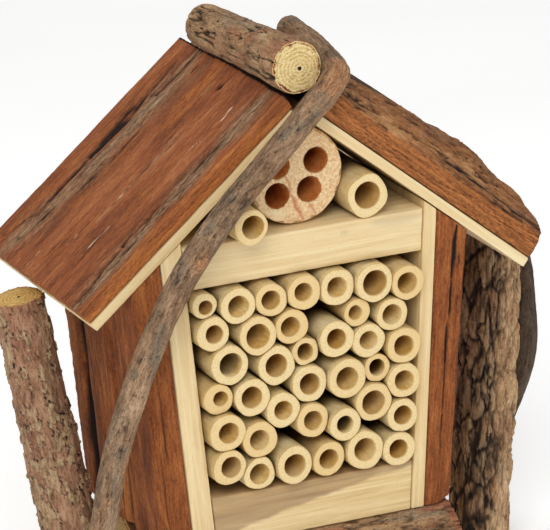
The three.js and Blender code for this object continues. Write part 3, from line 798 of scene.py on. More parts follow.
def left_roof():
    """Reddish bark peeled flat, with grooves, grey bands and pale scratches down the slope."""
    size = (LEFT_SLOPE, LEFT_ROOF_DEPTH, 5.2)

    def surface(share):
        """Places on the sheet: true, wandering for the grooves, and true as points in space."""
        place = share[..., :2] * size[:2]
        flat = laid_flat(place)
        wander = 0.8 * fractal(flat, (14, 9, 1), 11, 3)
        return place, place + wander[..., None] * (0, 1), flat

    def torn(flat):
        """Fine splits between the fibres, thickest where the bark is grey."""
        patch = 0.7 * smooth(0.0, 0.6, fractal(flat, (24, 7, 1), 25, 2))
        patch = patch + 0.9 * strokes(flat[..., :2], LEFT_GREY)
        return np.clip(fissures(flat, (13, 1.1, 1), 24, 4.5, 3) * patch, 0, 1)

    def relief(share):
        _, bent, flat = surface(share)
        v = share[..., 1]
        base = LEFT_ROOF_BARK + LEFT_ROOF_CROWN * np.sin(math.pi * np.clip(v, 0, 1))
        groove = (v - LEFT_ROOF_GROOVE["at"]) / LEFT_ROOF_GROOVE["width"]
        base = base - LEFT_ROOF_GROOVE["depth"] * np.exp(-(groove**2))
        streaks = 0.4 * fractal(flat, (20, 1.7, 1), 21, 4) + 0.3 * fractal(flat, (6, 0.8, 1), 22, 3)
        streaks = streaks + 0.12 * fractal(flat, (1.6, 0.7, 1), 23, 3) - 0.4 * torn(flat)
        ragged = smooth(0.0, 0.02, v) * smooth(0.0, 0.02, 1 - v)
        worn = 0.15 + 1.6 * strokes(bent, LEFT_DARK) + 0.5 * strokes(bent, LEFT_GREY)
        return base + streaks * ragged - worn

    def place(share):
        u, v, w = parts_of(share)
        height = ROOF_BOARD + GAP + w * (relief(share) - GAP)
        wave = 0.35 * fractal(np.stack([u * 90, w * 4, 0 * height], axis=-1), (7, 3, 1), 31)
        front = (1 - smooth(0, 0.06, v)) * (0.3 + wave)
        back = smooth(0.94, 1, v) * (0.5 + wave)
        eave = 0.5 * fractal(share * size * (0, 1, 1), (1, 5, 2), 32) * smooth(0.97, 1, u)
        lip = (1.0 - 0.7 * v) * (1 - smooth(0, 0.03, u)) * w
        down = GAP + LEFT_SLOPE * u - np.abs(eave) - lip
        return on_roof(-1, down, ROOF_FRONT + LEFT_ROOF_DEPTH * v + front - back, height)

    def marks(share):
        place, bent, flat = surface(share)
        top = smooth(0.3, 0.9, share[..., 2])
        speckle = 0.75 + 0.35 * fractal(flat, (12, 0.7, 1), 41, 3)
        broken = np.clip(0.75 + 0.75 * fractal(flat, (6, 0.7, 1), 42, 3), 0, 1)
        dark = strokes(bent, LEFT_DARK) * broken - strokes(place, LEFT_PALE)
        down, across = parts_of((place - (35.9, 26.5)) / (1.9, 1.2))
        chip = np.exp(-((down**2 + across**2) ** 2))
        # The slab's end at the ridge gets painted shade.
        ridge_end_shade = 1 - smooth(0, 0.012, share[..., 0])
        dark = dark + 0.32 * chip + 0.6 * torn(flat) * (1 - np.abs(dark)) + ridge_end_shade
        grey = strokes(bent, LEFT_GREY) * speckle
        warm = strokes(bent, LEFT_WARM) + 0.8 * (1 - top)
        return marks_of(dark * top, grey * top, warm)

    shape = long_grain(box_shape(size, (0.5, 0.4, 0.8), SLAB_EDGE, place, marks), 0)
    shape.make("roof_left_bark", "red_bark", [ROOF_BARK], sharp=70)


def right_thickness(u, v):
    """Thickness of the right slab from its shares down the slope and backwards: humped, thin at the eave."""
    arch = np.sin(math.pi * np.clip(v / 0.78, 0, 1)) ** 0.8
    crown = CROWN_AT_RIDGE + sum(rise * smooth(start, end, u) for start, end, rise in CROWN_CHANGES)
    return RIGHT_ROOF_BARK - 0.8 * smooth(0.7, 0.8, v) + RIGHT_ROOF_CROWN * arch * crown


def right_roof():
    """A thick slab: a smooth sawn front edge under rough, deeply fissured bark."""
    size = (RIGHT_SLOPE, RIGHT_ROOF_DEPTH, 10.0)

    def rough(share):
        flat = share * size * (1, 1, 0)
        bent = flat + 0.9 * fractal(flat, (18, 9, 1), 51, 3)[..., None] * (0, 1, 0)
        deep = fissures(bent, (30, 2.6, 1), 52, 4.6, 4)
        shallow = fissures(bent, (14, 1.1, 1), 54, 3.6, 4)
        ridges = fractal(bent, (15, 1.6, 1), 53, 4)
        return deep, shallow, ridges, flat

    def relief(share):
        deep, shallow, ridges, flat = rough(share)
        u, v, _ = parts_of(share)
        bare = smooth(0.012, 0.06, v)
        lump = 0.7 * fractal(flat, (17, 14, 1), 56, 3)
        grit = 0.2 * fractal(flat, (2, 0.8, 1), 59, 3)
        change = 0.9 * ridges + lump - 1.7 * deep - 0.8 * shallow - 0.2 + grit
        return right_thickness(u, v) + bare * change - (1 - bare) * (0.4 + 0.9 * np.abs(ridges))

    def place(share):
        u, v, w = parts_of(share)
        height = ROOF_BOARD + GAP + w * (relief(share) - GAP)
        spot = share * size
        ragged = 0.5 * np.abs(fractal(spot, (9, 2, 5), 57))
        front = (1 - smooth(0, 0.05, v)) * ragged * smooth(0.6, 1.0, w)
        face = 0.14 * fractal(spot, (7, 1, 1.1), 58) * (v < 0.001) + 0.14
        back = smooth(0.95, 1, v) * (0.5 + ragged)
        down = GAP + RIGHT_SLOPE * u
        down = down - smooth(0.97, 1, u) * (ragged + 1.2 * smooth(0.6, 1, w))
        return on_roof(1, down, ROOF_FRONT + RIGHT_ROOF_DEPTH * v + front + face - back, height)

    def marks(share):
        deep, shallow, ridges, flat = rough(share)
        u, v, w = parts_of(share)
        top = smooth(0.86, 1.0, w + 0.05 * fractal(flat, (5, 4, 1), 60, 3))
        # The slab's end at the ridge gets painted shade.
        dark = top * (0.75 * deep + 0.45 * shallow**1.3) + (1 - smooth(0, 0.012, u))
        seam = np.exp(-(((w - 0.93) / 0.05) ** 2)) * smooth(0.1, 0.5, fractal(flat, (9, 3, 1), 61, 3))
        knot = np.exp(-(((u * RIGHT_SLOPE - 60) / 1.6) ** 2 + ((w * 9 - 4.6) / 1.2) ** 2) ** 2)
        dark = dark + (v < 0.03) * (0.75 * seam + 0.2 * knot)
        bump = np.exp(-(((u - 0.56) / 0.1) ** 2)) * np.exp(-(((v - 0.44) / 0.16) ** 2))
        grey = top * (0.9 * bump + 0.3 * smooth(0.1, 0.6, ridges))
        return marks_of(dark, grey, 1 - top)

    shape = long_grain(box_shape(size, (0.45, 0.42, 0.6), SLAB_EDGE, place, marks), 0)
    shape.make("roof_right_bark", "red_bark", [ROUGH_BARK], sharp=80)


def wall_bark(node, side, board_width, bark, swell, grooves, dark, grey, warm, seed):
    """A bark slab outside a wall, with grooves up its outer face."""
    size = (bark, HOUSE_DEPTH, WALL_HEIGHT)

    def front_cracks(share):
        return strokes(share[..., [2, 0]] * (WALL_HEIGHT, bark), FRONT_CRACKS.get(node, []))

    def spot_of(share):
        """Wandering places on the outer face, and true ones as points in space."""
        spot = share[..., [2, 1]] * (WALL_HEIGHT, HOUSE_DEPTH)
        flat = laid_flat(spot)
        wander = 0.7 * fractal(flat, (22, 9, 1), seed, 3)
        return spot + np.stack([0 * wander, wander], axis=-1), flat

    def place(share):
        u, v, w = parts_of(share)
        bent, flat = spot_of(share)
        groove = sum(cut * np.exp(-(((v - at) / 0.05) ** 2)) for at, cut in grooves)
        wave = 0.7 * np.sin(5.2 * w + 1.1) * np.sin(2.6 * v + 0.4)
        fine = 0.35 * fractal(flat, (30, 1.8, 1), seed + 1, 4) - 0.3 - 1.3 * strokes(bent, dark)
        edge = 0.5 * np.abs(fractal(flat, (6, 2, 1), seed + 2)) * (smooth(0.96, 1, v) + smooth(0.04, 0, v))
        width = bark + swell * (w - 0.5) - groove + wave + fine - edge
        offset = board_width + GAP + u * width
        top = meets_roof(1, offset)
        foot = smooth(0.5, 1, u) * smooth(0.04, 0, w) * 2.0
        z = HOUSE_BOTTOM + (top - HOUSE_BOTTOM) * w + foot
        face = 0.12 * fractal(np.stack([z, u * 10, 0 * z], -1), (18, 0.9, 1), seed + 3) * (v < 0.001)
        crack = 0.9 * front_cracks(share) * (v < 0.001)
        x = inner_half_width(z) + offset
        return np.stack([side * x, HOUSE_DEPTH * v + face + 0.13 + crack, z], axis=-1)

    def marks(share):
        u, v, w = parts_of(share)
        bent, _ = spot_of(share)
        front = front_cracks(share) * (v < 0.02)
        out = smooth(0.5, 0.95, u)
        return marks_of(
            np.maximum(strokes(bent, dark) * out, front),
            strokes(bent, grey) * out, np.maximum(strokes(bent, warm) * out, 0.35 * (v < 0.02)),
        )

    shape = long_grain(box_shape(size, (0.7, 0.55, 0.6), SLAB_EDGE, place, marks), 2)
    shape.make(node, "red_bark", [WALL_BARK], sharp=70)


# Cracks in the slabs' front edges: height up and distance out, in millimetres.
FRONT_CRACKS = {
    "wall_right_bark": [
        ((119, 6.6), (96, 6.2), 0.75, 1.0), ((98, 6.3), (76, 5.7), 0.45, 0.85),
        ((78, 5.6), (60, 5.4), 0.6, 0.9), ((60, 5.3), (36, 5.2), 0.3, 0.7),
        ((38, 5.3), (12, 4.9), 0.35, 0.75), ((30, 6.4), (8, 6.2), 0.25, 0.55),
        ((110, 8.4), (96, 7.6), 0.3, 0.6), ((90, 8.2), (84, 8.0), 0.25, 0.4),
    ],
    "wall_left_bark": [((100, 6.0), (40, 5.4), 0.35, 0.6), ((60, 8.0), (10, 7.6), 0.3, 0.5)],
}
left_roof()
right_roof()
wall_bark(
    "wall_left_bark", -1, LEFT_BOARD, LEFT_BARK, LEFT_SWELL, ((0.42, 1.6), (0.84, 2.2)),
    [((118, 54), (60, 53), 1.5, 1.0), ((64, 53.4), (0, 54), 2.4, 1.0), ((112, 49), (70, 49.6), 0.6, 0.8),
     ((70, 24), (0, 26.5), 1.2, 1.0), ((116, 25), (72, 24), 0.5, 0.8), ((50, 30), (0, 31), 0.6, 0.7),
     ((110, 12), (40, 13), 0.25, 0.4), ((90, 38), (20, 40), 0.2, 0.35)],
    [((118, 55), (70, 54), 1.8, 0.6), ((100, 49), (60, 49.5), 1.0, 0.5)],
    [((118, 41), (40, 42), 6.0, 0.7), ((118, 58), (0, 59), 2.4, 0.4)], 80,
)
wall_bark(
    "wall_right_bark", 1, RIGHT_BOARD, RIGHT_BARK, RIGHT_SWELL, ((0.5, 1.4),),
    [((118, 30), (0, 32), 0.9, 1.0), ((110, 46), (20, 48), 0.5, 0.8), ((100, 12), (10, 13), 0.4, 0.7),
     ((60, 20), (0, 21), 0.3, 0.5)],
    [((118, 27), (30, 28), 1.6, 0.6)], [((118, 50), (0, 52), 6.0, 0.5)], 90,
)


# ---------------------------------------------------------------- logs, posts and branches
def ridge_log():
    """Grey-tan bark with cracks and pits, a rounded knobby back end and a sawn front end."""
    back, front = (np.array(RIDGE_LOG[k], float) for k in ("back", "front"))
    body = Round(back + (front - back) * np.linspace(0, 1, 190)[:, None], 150, 7.6)
    share = (body.along / body.length)[:, None]
    size = RIDGE_LOG["radius"][1] + (RIDGE_LOG["radius"][0] - RIDGE_LOG["radius"][1]) * share
    lumps = 0.45 * fractal(body.grain, (7, 7, 13), 101, 3)
    fine = 0.14 * fractal(body.grain, (1.4, 1.4, 3.2), 102, 4)
    deep = fissures(body.grain, (3.2, 3.2, 20), 103, 6.0, 4) * smooth(-0.25, 0.2, noise(body.grain, 10, 104))
    pits = smooth(0.62, 0.8, noise(body.grain, (1.2, 1.2, 1.6), 105))
    rounded = np.sqrt(np.clip(1 - np.clip(1 - body.along / 5.0, 0, 0.985) ** 2, 0, 1))[:, None]
    under = smooth(0.4, 1.0, np.cos(body.angle + math.radians(135)))[None, :]
    resting = 0.4 * under * smooth(30, 6, body.along)[:, None]
    radius = (size + lumps + fine - 0.1 - 0.7 * deep - 0.3 * pits + resting) * rounded
    grey = smooth(0.0, 0.5, fractal(body.grain, (9, 9, 16), 106, 3))
    warm = smooth(0.1, 0.55, fractal(body.grain, (6, 6, 10), 107, 3)) * 0.8
    rim = smooth(1.2, 0.2, body.length - body.along)[:, None]
    marks = marks_of(np.maximum(0.75 * deep, 0.7 * pits), grey * 0.6, np.maximum(warm * 0.8, rim))
    shape = body.build(radius, marks, (False, True), 0.3, 26, 5)
    shape.make("ridge_log", "grey_bark", [LOG_BARK, LOG_END], sharp=60)


# Knots on the branches: share of the length, angle round the branch, height.
FRONT_KNOTS = [(0.441, 0.59, 1.0), (0.489, 0.9, 0.4), (0.313, 0.7, 0.5), (0.66, 1.3, 0.4)]
REAR_KNOTS = [(0.35, 1.2, 0.6), (0.72, 4.0, 0.5)]


def branch(node, points, seed, look, knots, peeled, grey_share):
    """A thin branch: pits and small cracks in its bark, swellings at its knots, and peeled stretches."""
    body = Round(spline(points, 0.5), 64, BRANCH_RADIUS)
    along = body.along[:, None]
    radius = BRANCH_RADIUS - 0.25 + 0.3 * fractal(body.grain, (5, 5, 22), seed, 3)
    radius = radius + 0.13 * fractal(body.grain, (1.2, 1.2, 2.6), seed + 1, 4)
    radius = radius + 0.1 * fractal(body.grain, (0.7, 0.7, 4.0), seed + 7, 3)
    deep = fissures(body.grain, (2.4, 2.4, 11), seed + 2, 8.0, 3)
    deep = deep * smooth(0.1, 0.4, noise(body.grain, 7, seed + 3))
    pits = smooth(0.5, 0.72, noise(body.grain, (0.8, 0.8, 1.1), seed + 4))
    warm = 0.35 * smooth(0.2, 0.6, fractal(body.grain, (4, 4, 9), seed + 5, 3))
    grey = smooth(-0.1, 0.5, fractal(body.grain, (6, 6, 24), seed + 6, 3)) * grey_share
    blotch = noise(body.grain, (3.5, 3.5, 6), seed + 10)
    grey = np.maximum(grey, smooth(0.42, 0.55, blotch))
    dark = np.maximum(0.55 * deep, 0.45 * pits) + 0.12 * smooth(0.4, 0.55, blotch)
    radius = radius - 0.3 * deep - 0.15 * pits
    for where, angle, height in knots:
        turn = np.abs((body.angle - angle + math.pi) % TURN - math.pi)[None, :] * BRANCH_RADIUS
        spot = np.exp(-(((along - where * body.length) / 2.8) ** 2 + (turn / 2.3) ** 2))
        ragged = 1 + 0.6 * fractal(body.grain, (0.9, 0.9, 1.2), seed + 11, 3)
        radius = radius + height * spot * ragged
        warm = np.maximum(warm, 1.5 * spot * ragged * (height > 0.6))
        away = np.sqrt(np.maximum(-np.log(spot + 1e-9), 0))
        dark = np.maximum(dark, 0.42 * np.exp(-((away - 0.9) / 0.12) ** 2))
    for low, high in peeled:
        bare = smooth(low - 2, low + 2, along) * smooth(high + 2, high - 2, along)
        torn = bare * smooth(-0.35, 0.1, fractal(body.grain, (2.2, 2.2, 7), seed + 8, 3))
        warm = np.maximum(warm, 1.2 * torn)
        radius = radius - 0.25 * torn + 0.28 * bare * fractal(body.grain, (0.9, 0.9, 7), seed + 9, 2)
    blunt = np.minimum(body.along, body.length - body.along)
    rounded = np.sqrt(np.clip(1 - np.clip(1 - blunt / 3.4, 0, 0.985) ** 2, 0, 1))[:, None]
    shape = body.build(radius * rounded, marks_of(dark, grey, np.clip(warm, 0, 1)), seed=seed)
    shape.make(node, "grey_bark", [look], sharp=60)


def flakes(grain, size, seed, low):
    """Ragged raised patches: how far each point is onto one, and how close it is to a patch's edge."""
    field = fractal(grain, size, seed, 3) + 0.12 * fractal(grain, 0.9, seed + 7, 2)
    return smooth(low, low + 0.04, field), np.exp(-(((field - low + 0.01) / 0.04) ** 2))


def post_body(made, sides):
    """The straight body of a post, before it leans, and its radius along it."""
    straight = np.stack([np.zeros(230), np.zeros(230), np.linspace(0, made["height"], 230)], axis=-1)
    size = np.linspace(*made["radius"], 230)[:, None]
    return Round(straight, sides, made["radius"][0]), size


def finish_post(node, made, body, radius, dark, grey, warm, look, seed):
    lean = math.atan2(made["top"] - made["foot"], made["height"])
    rim = smooth(1.4, 0.2, body.length - body.along)[:, None]
    marks = marks_of(dark, np.clip(grey, 0, 1) * (1 - rim), np.maximum(warm, rim))

    def tilt(points):
        share = points[..., 2] / made["height"]
        turn = lean * share
        across = points[..., 0]
        x = made["foot"] + (made["top"] - made["foot"]) * share + across * np.cos(turn)
        z = np.maximum(points[..., 2] - across * np.sin(turn), 0.02)
        return np.stack([x, made["y"] - points[..., 1], z], axis=-1)

    shape = body.build(radius, marks, (True, True), 0.25, 18, seed, tilt)
    shape.make(node, "brown_bark", [look, POST_END], sharp=60)


def left_post():
    """Smooth pinkish bark with ragged cream flakes, rougher towards the house, with painted shadow lines at
    the flakes' edges and painted shade on the house side.
    """
    body, size = post_body(LEFT_POST, 150)
    grain, out = body.grain, np.cos(body.angle)[None, :]
    cream, edge = flakes(grain, (3.6, 3.6, 6.0), 301, 0.3)
    loose, rim = flakes(grain + 50, (2.6, 2.6, 4.4), 302, 0.36)
    rough = smooth(-0.1, 0.6, out + 0.5 * fractal(grain, (6, 6, 16), 303, 3))
    cracks = fissures(grain, (1.9, 1.9, 9), 304, 6.0, 4) * (0.25 + 0.75 * rough)
    lumps = 0.4 * fractal(grain, (8, 8, 26), 305, 3) + 0.15 * fractal(grain, (1.3, 1.3, 2.4), 306, 4)
    radius = size - 0.35 + lumps + 0.55 * cream + 0.5 * loose - 0.35 * cracks
    # Painted shadow lines along the flakes' edges, and darker cracks.
    dark = 0.6 * edge * (1 - cream) + 0.65 * rim * (1 - loose) + 0.3 * cracks
    dark = dark - 0.25 * np.maximum(cream, loose)
    # Painted shade on the side towards the house.
    dark = dark + 0.34 * rough * smooth(-0.4, 0.4, fractal(grain, (2.2, 2.2, 5), 307, 3))
    grey = np.maximum(0.8 * cream, loose) * (0.75 + 0.35 * fractal(grain, (2, 2, 3), 308, 3)) + 0.35 * rough
    warm = 0.75 * smooth(0.05, 0.5, fractal(grain, (6, 6, 14), 309, 3)) * (1 - cream)
    finish_post("post_left", LEFT_POST, body, radius, np.clip(dark, 0, 1), grey, warm, POST_BARK, 310)


def right_post():
    """Thick bark in long rounded flakes, with painted shade on the side next to the house."""
    body, size = post_body(RIGHT_POST, 170)
    grain = body.grain + 1.9 * fractal(body.grain, (3, 3, 6), 331, 4)[..., None] * (1, 1, 1.8)
    edge, owner = plates(grain, (4.6, 4.6, 13.0), 332)
    hollow = smooth(0.22, 0.0, edge)
    bulge = smooth(0.0, 0.5, edge)
    lumps = 0.5 * fractal(body.grain, (6, 6, 14), 333, 3)
    lumps = lumps + 0.25 * fractal(body.grain, (1.5, 1.5, 3.5), 334, 4)
    cracks = fissures(body.grain, (2.2, 2.2, 10), 335, 6.0, 3)
    radius = size - 0.4 + lumps + 1.2 * bulge * (owner - 0.35) - 0.8 * hollow - 0.4 * cracks
    # Painted shade on the side next to the house, where the wall's shadow falls; it also keeps the plates'
    # pale tone off that side.
    near = -np.cos(body.angle + math.radians(24))[None, :] + 0.25 * fractal(body.grain, (5, 5, 12), 336, 3)
    shade = smooth(0.1, 0.75, near)
    # Hollows between plates are darkened partly as bark colour and partly as painted shade.
    dark = 0.3 * hollow**1.5 + 0.2 * cracks + 0.06 * smooth(0.6, 0.1, owner) + 0.35 * shade
    grey = 0.7 * smooth(0.45, 0.8, owner) * bulge * (1 - shade)
    warm = 0.7 * smooth(0.1, 0.5, fractal(body.grain, (5, 5, 12), 337, 3))
    finish_post("post_right", RIGHT_POST, body, radius, np.clip(dark, 0, 1), grey, warm, DARK_BARK, 340)


def sill(node, left, right, y, seed):
    """A log on its side, planed flat above and below."""
    path = np.stack([np.linspace(left, right, 170), np.full(170, y), np.full(170, SILL_HALF)], axis=-1)
    body = Round(path, 160, SILL_RADIUS)
    deep = fissures(body.grain, (3.2, 3.2, 17), seed, 6.5, 4)
    lumps = fractal(body.grain, (9, 9, 24), seed + 1, 3)
    fine = fractal(body.grain, (1.5, 1.5, 4), seed + 2, 4)
    radius = SILL_RADIUS - 0.9 + 0.6 * lumps + 0.25 * fine - 0.8 * deep
    grey = smooth(0.0, 0.5, fractal(body.grain, (5, 5, 18), seed + 3, 3))
    warm = smooth(0.1, 0.5, fractal(body.grain, (7, 7, 20), seed + 4, 3))
    near = np.minimum(body.along, body.length - body.along)[:, None]
    warm = np.maximum(warm, smooth(4.0, 1.0, near + 2 * fine))

    def plane(points):
        low = 0.0 if node == "sill_log_front" else 0.02
        z = np.clip(points[..., 2], low, 2 * SILL_HALF - GAP)
        return np.stack([points[..., 0], points[..., 1], z], axis=-1)

    shape = body.build(radius, marks_of(0.55 * deep, 0.8 * grey, warm), (True, True), 0.3, 22, seed, plane)
    shape.make(node, "brown_bark", [LOG_BARK, POST_END], sharp=60)


ridge_log()
branch("bent_branch", BENT_BRANCH, 201, GREY_BARK, FRONT_KNOTS, [(36, 47)], 0.35)
branch("rear_branch", REAR_BRANCH, 231, SHADED_REAR_BARK, REAR_KNOTS, [], 0.6)
left_post()
right_post()
for number, (node, (left, right, y)) in enumerate(SILLS.items()):
    sill(node, left, right, y, 361 + 20 * number)


# ---------------------------------------------------------------- bamboo
# Where a bore sits off its tube's centre, in millimetres (across, up); how strong the painted shade is just
# inside a bore; and how many corners an outline has, with their strength.
BORE_SHIFT = {
    "tube_01": (0.6, 0.0), "tube_31": (0.5, -0.75), "tube_34": (-0.5, 0.1), "tube_28": (0.4, 0.0),
    "tube_26": (-0.6, 0.1), "tube_30": (-0.75, 0.0), "tube_15": (0.65, 0.0), "tube_21": (0.3, 0.2),
    "tube_16": (0.3, 0.0), "tube_07": (0.3, 0.1), "gable_tube_left": (0.55, 0.0),
}
SHADED_BORES = {"tube_19": 1.0, "tube_10": 0.8, "tube_21": 0.5, "tube_22": 0.5}
CORNERED = {"tube_02": (3, 0.06), "tube_22": (5, 0.05), "tube_04": (2, 0.04), "gable_tube_right": (4, 0.03)}
SIDES = 72
SWOLLEN = 1.06         # how much wider a cane grows than its round core, where its neighbours let it


def measured(node):
    """The front, centre, outer radius and bore radius of a tube."""
    found = node_points(node)
    front = found[:, 1].min()
    ring = found[found[:, 1] < front + 0.02][:, [0, 2]]
    centre = (ring.min(axis=0) + ring.max(axis=0)) / 2
    distance = np.linalg.norm(ring - centre, axis=1)
    return front, centre, distance.max(), distance.min()


def free_reach(node, way):
    """How far a tube may reach each way before it meets its neighbours, the walls, shelf or floor bar."""
    front, centre, outer, bore = MEASURED[node]
    lean = np.array([1.0, -FLARE])
    lean = lean / np.linalg.norm(lean)
    out = (HALF_WIDTH - FLARE * HOUSE_BOTTOM) * lean[0] - 0.05
    walls = [(lean, out - centre @ lean), (lean * (-1, 1), out - centre @ (lean * (-1, 1)))]
    if node.startswith("tube"):
        walls += [((0, 1), shelf_low.z / MM - 0.1 - centre[1]), ((0, -1), centre[1] - bar_top - 0.1)]
    for other, (_, spot, radius, _) in MEASURED.items():
        apart = np.linalg.norm(spot - centre)
        if other != node and apart < 40:
            walls.append(((spot - centre) / apart, (apart**2 + outer**2 - radius**2) / (2 * apart) - 0.03))
    reach = np.full(len(way), 99.0)
    for direction, limit in walls:
        facing = way @ np.array(direction)
        reach = np.where(facing > 0.05, np.minimum(reach, limit / np.maximum(facing, 0.05)), reach)
    return reach


def tube(node, seed):
    """A length of cane: skin, sawn face and bore, closed at the back by its own node."""
    front, centre, outer, bore = MEASURED[node]
    length = TUBE_BACK - front
    angle = np.arange(SIDES) * TURN / SIDES
    way = np.stack([np.cos(angle), np.sin(angle)], axis=-1)
    around = np.concatenate([3.0 * way, np.full((SIDES, 1), 13.0 * seed)], axis=-1)
    count, cornered = CORNERED.get(node, (2 + seed % 3, 0.022))
    grown = SWOLLEN if node.startswith("tube") else 1.0
    outline = grown + cornered * (np.cos(count * angle + seed) - 0.6)
    outline = outline + 0.045 * (fractal(around, 2.6, 401, 2) - 0.2)
    if node.startswith("tube"):
        limit = free_reach(node, way) / outer
        outline = np.minimum(outline, limit) - 0.015 * np.exp(-(((limit - outline) / 0.04) ** 2))
        # How near the skin comes to a neighbour, which sets the painted shade in the gap.
        gap_shade = np.exp(-np.maximum(limit - outline, 0) / 0.13)
    else:
        gap_shade = np.full(SIDES, 0.2)
    inner = 1 + 0.05 * fractal(around, 2.2, 402, 2)
    shift = 0.15 * np.array([math.sin(3 * seed), math.cos(5 * seed)])
    shift = shift + BORE_SHIFT.get(node, (0.0, 0.0))
    room = (outer - bore) * 0.42
    shift = shift * min(1.0, room / max(np.linalg.norm(shift), 1e-6))
    skin = outer * outline[:, None] * way
    hole = shift + 1.04 * bore * inner[:, None] * way
    tilt = 0.35 * np.array([math.sin(7 * seed), math.cos(4 * seed)])

    rows, grain, marks, kinds = [], [], [], []

    def row(flat, depth, kind, mark):
        rough = np.asarray(depth) + 0 * flat[:, 0]
        rows.append(np.stack([centre[0] + flat[:, 0], front + rough, centre[1] + flat[:, 1]], axis=-1))
        grain.append(np.stack([flat[:, 0] + 9 * seed, flat[:, 1], rough], axis=-1))
        marks.append(np.stack([np.broadcast_to(m, SIDES) for m in mark], axis=-1))
        kinds.append(kind)

    def face(flat):
        """The saw cut leans a little, and its surface is torn."""
        spot = np.concatenate([flat, np.full((SIDES, 1), 5.0 * seed)], axis=-1)
        return 0.35 + (flat @ tilt) / outer * 0.5 + 0.12 * fractal(spot, 0.8, 403, 3)

    golden = 0.35 + 0.3 * math.sin(2.3 * seed)
    sandy = max(0.0, 0.1 + 0.3 * math.sin(1.7 * seed + 1))
    floor = length - TUBE_END_WALL
    # Painted shade on the bore's far end and down its walls, stronger with depth.
    for share in (0.0, 0.5, 0.85):
        row(shift + (hole - shift) * share, floor, 2, (0.8, 0, 0))
    for depth in (*np.linspace(floor, 12, 8), 9, 7, 5.4, 4, 3, 2.2, 1.5, 0.9):
        bore_shade = max(0.8 * smooth(4.0, 24, depth), SHADED_BORES.get(node, 0.0) * smooth(0.5, 4, depth))
        wavy = 1 + 0.02 * math.sin(depth * 0.9 + seed)
        row(shift + (hole - shift) * wavy, depth + 0.3, 2, (bore_shade, golden, 0))
    rim = face(hole)
    row(hole, rim + 0.3, 2, (0, 0.2, 0))
    row(hole + (skin - hole) * 0.03, rim + 0.06, 1, (0, 0.0, sandy))
    for share in (0.1, 0.22, 0.36, 0.5, 0.64, 0.76, 0.86, 0.93):
        flat = hole + (skin - hole) * share
        row(flat, face(flat) + 0.12 * smooth(0.7, 0.95, share), 1, (0, share, sandy))
    edge = face(skin)
    fringe = (0.16 * fractal(around, 0.3, 404, 2) - 0.04)[:, None] * way
    row(skin * 0.975 + fringe, edge + 0.22, 1, (0, 0.9, sandy))
    row(skin + 0.6 * fringe, edge + 0.55, 0, (0, 0.05 + 0.8 * sandy, 0))
    # Painted shade on the skin, growing further back and where it presses on a neighbour.
    for depth in (0.8, 1.3, 2.0, 3, 4.2, 5.5, 7, 9, 11.5, 15, 20, 27, 35, 44, length - 0.4):
        swelling = 1 - 0.006 - 0.006 * math.sin(0.35 * depth + seed)
        shade = np.maximum(0.95 * smooth(5, 15, depth), 0.95 * gap_shade * smooth(0.4, 3.0, depth))
        row(skin * swelling, max(depth, 0.8) + 0.35 * (depth < 5), 0, (shade, 0.05 + 0.8 * sandy, 0))
    for share in (0.97, 0.6, 0.3, 0.0):
        row(skin * share, length, 1, (0, share, 0))
    shape = Shape()
    shape.rings(rows, grain, marks, kinds)
    shape.make(node, "cane", [CANE, CANE_END, CANE_BORE], sharp=45)


tubes = sorted(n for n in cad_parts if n.startswith("tube_")) + ["gable_tube_left", "gable_tube_right"]
bar_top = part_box("floor_bar")[1].z / MM
MEASURED = {node: measured(node) for node in tubes}
for number, node in enumerate(tubes):
    tube(node, number + 1)


# ---------------------------------------------------------------- drilled block
BLOCK_RED = [
    ((-3.5, 1.5), (-1.6, -6.5), 0.5, 0.8), ((-1.8, -6), (1.8, -14.6), 0.8, 1.0),
    ((4.2, -9.4), (6.2, -13), 0.5, 0.8), ((-1.6, 4), (0.6, 15), 0.4, 0.5), ((1.5, -1), (2.2, -8), 0.3, 0.4),
]
BLOCK_CREAM = [((-8, -11), (-5, -12), 3.0, 0.9), ((-3, 8), (-1, 14), 1.4, 0.4)]


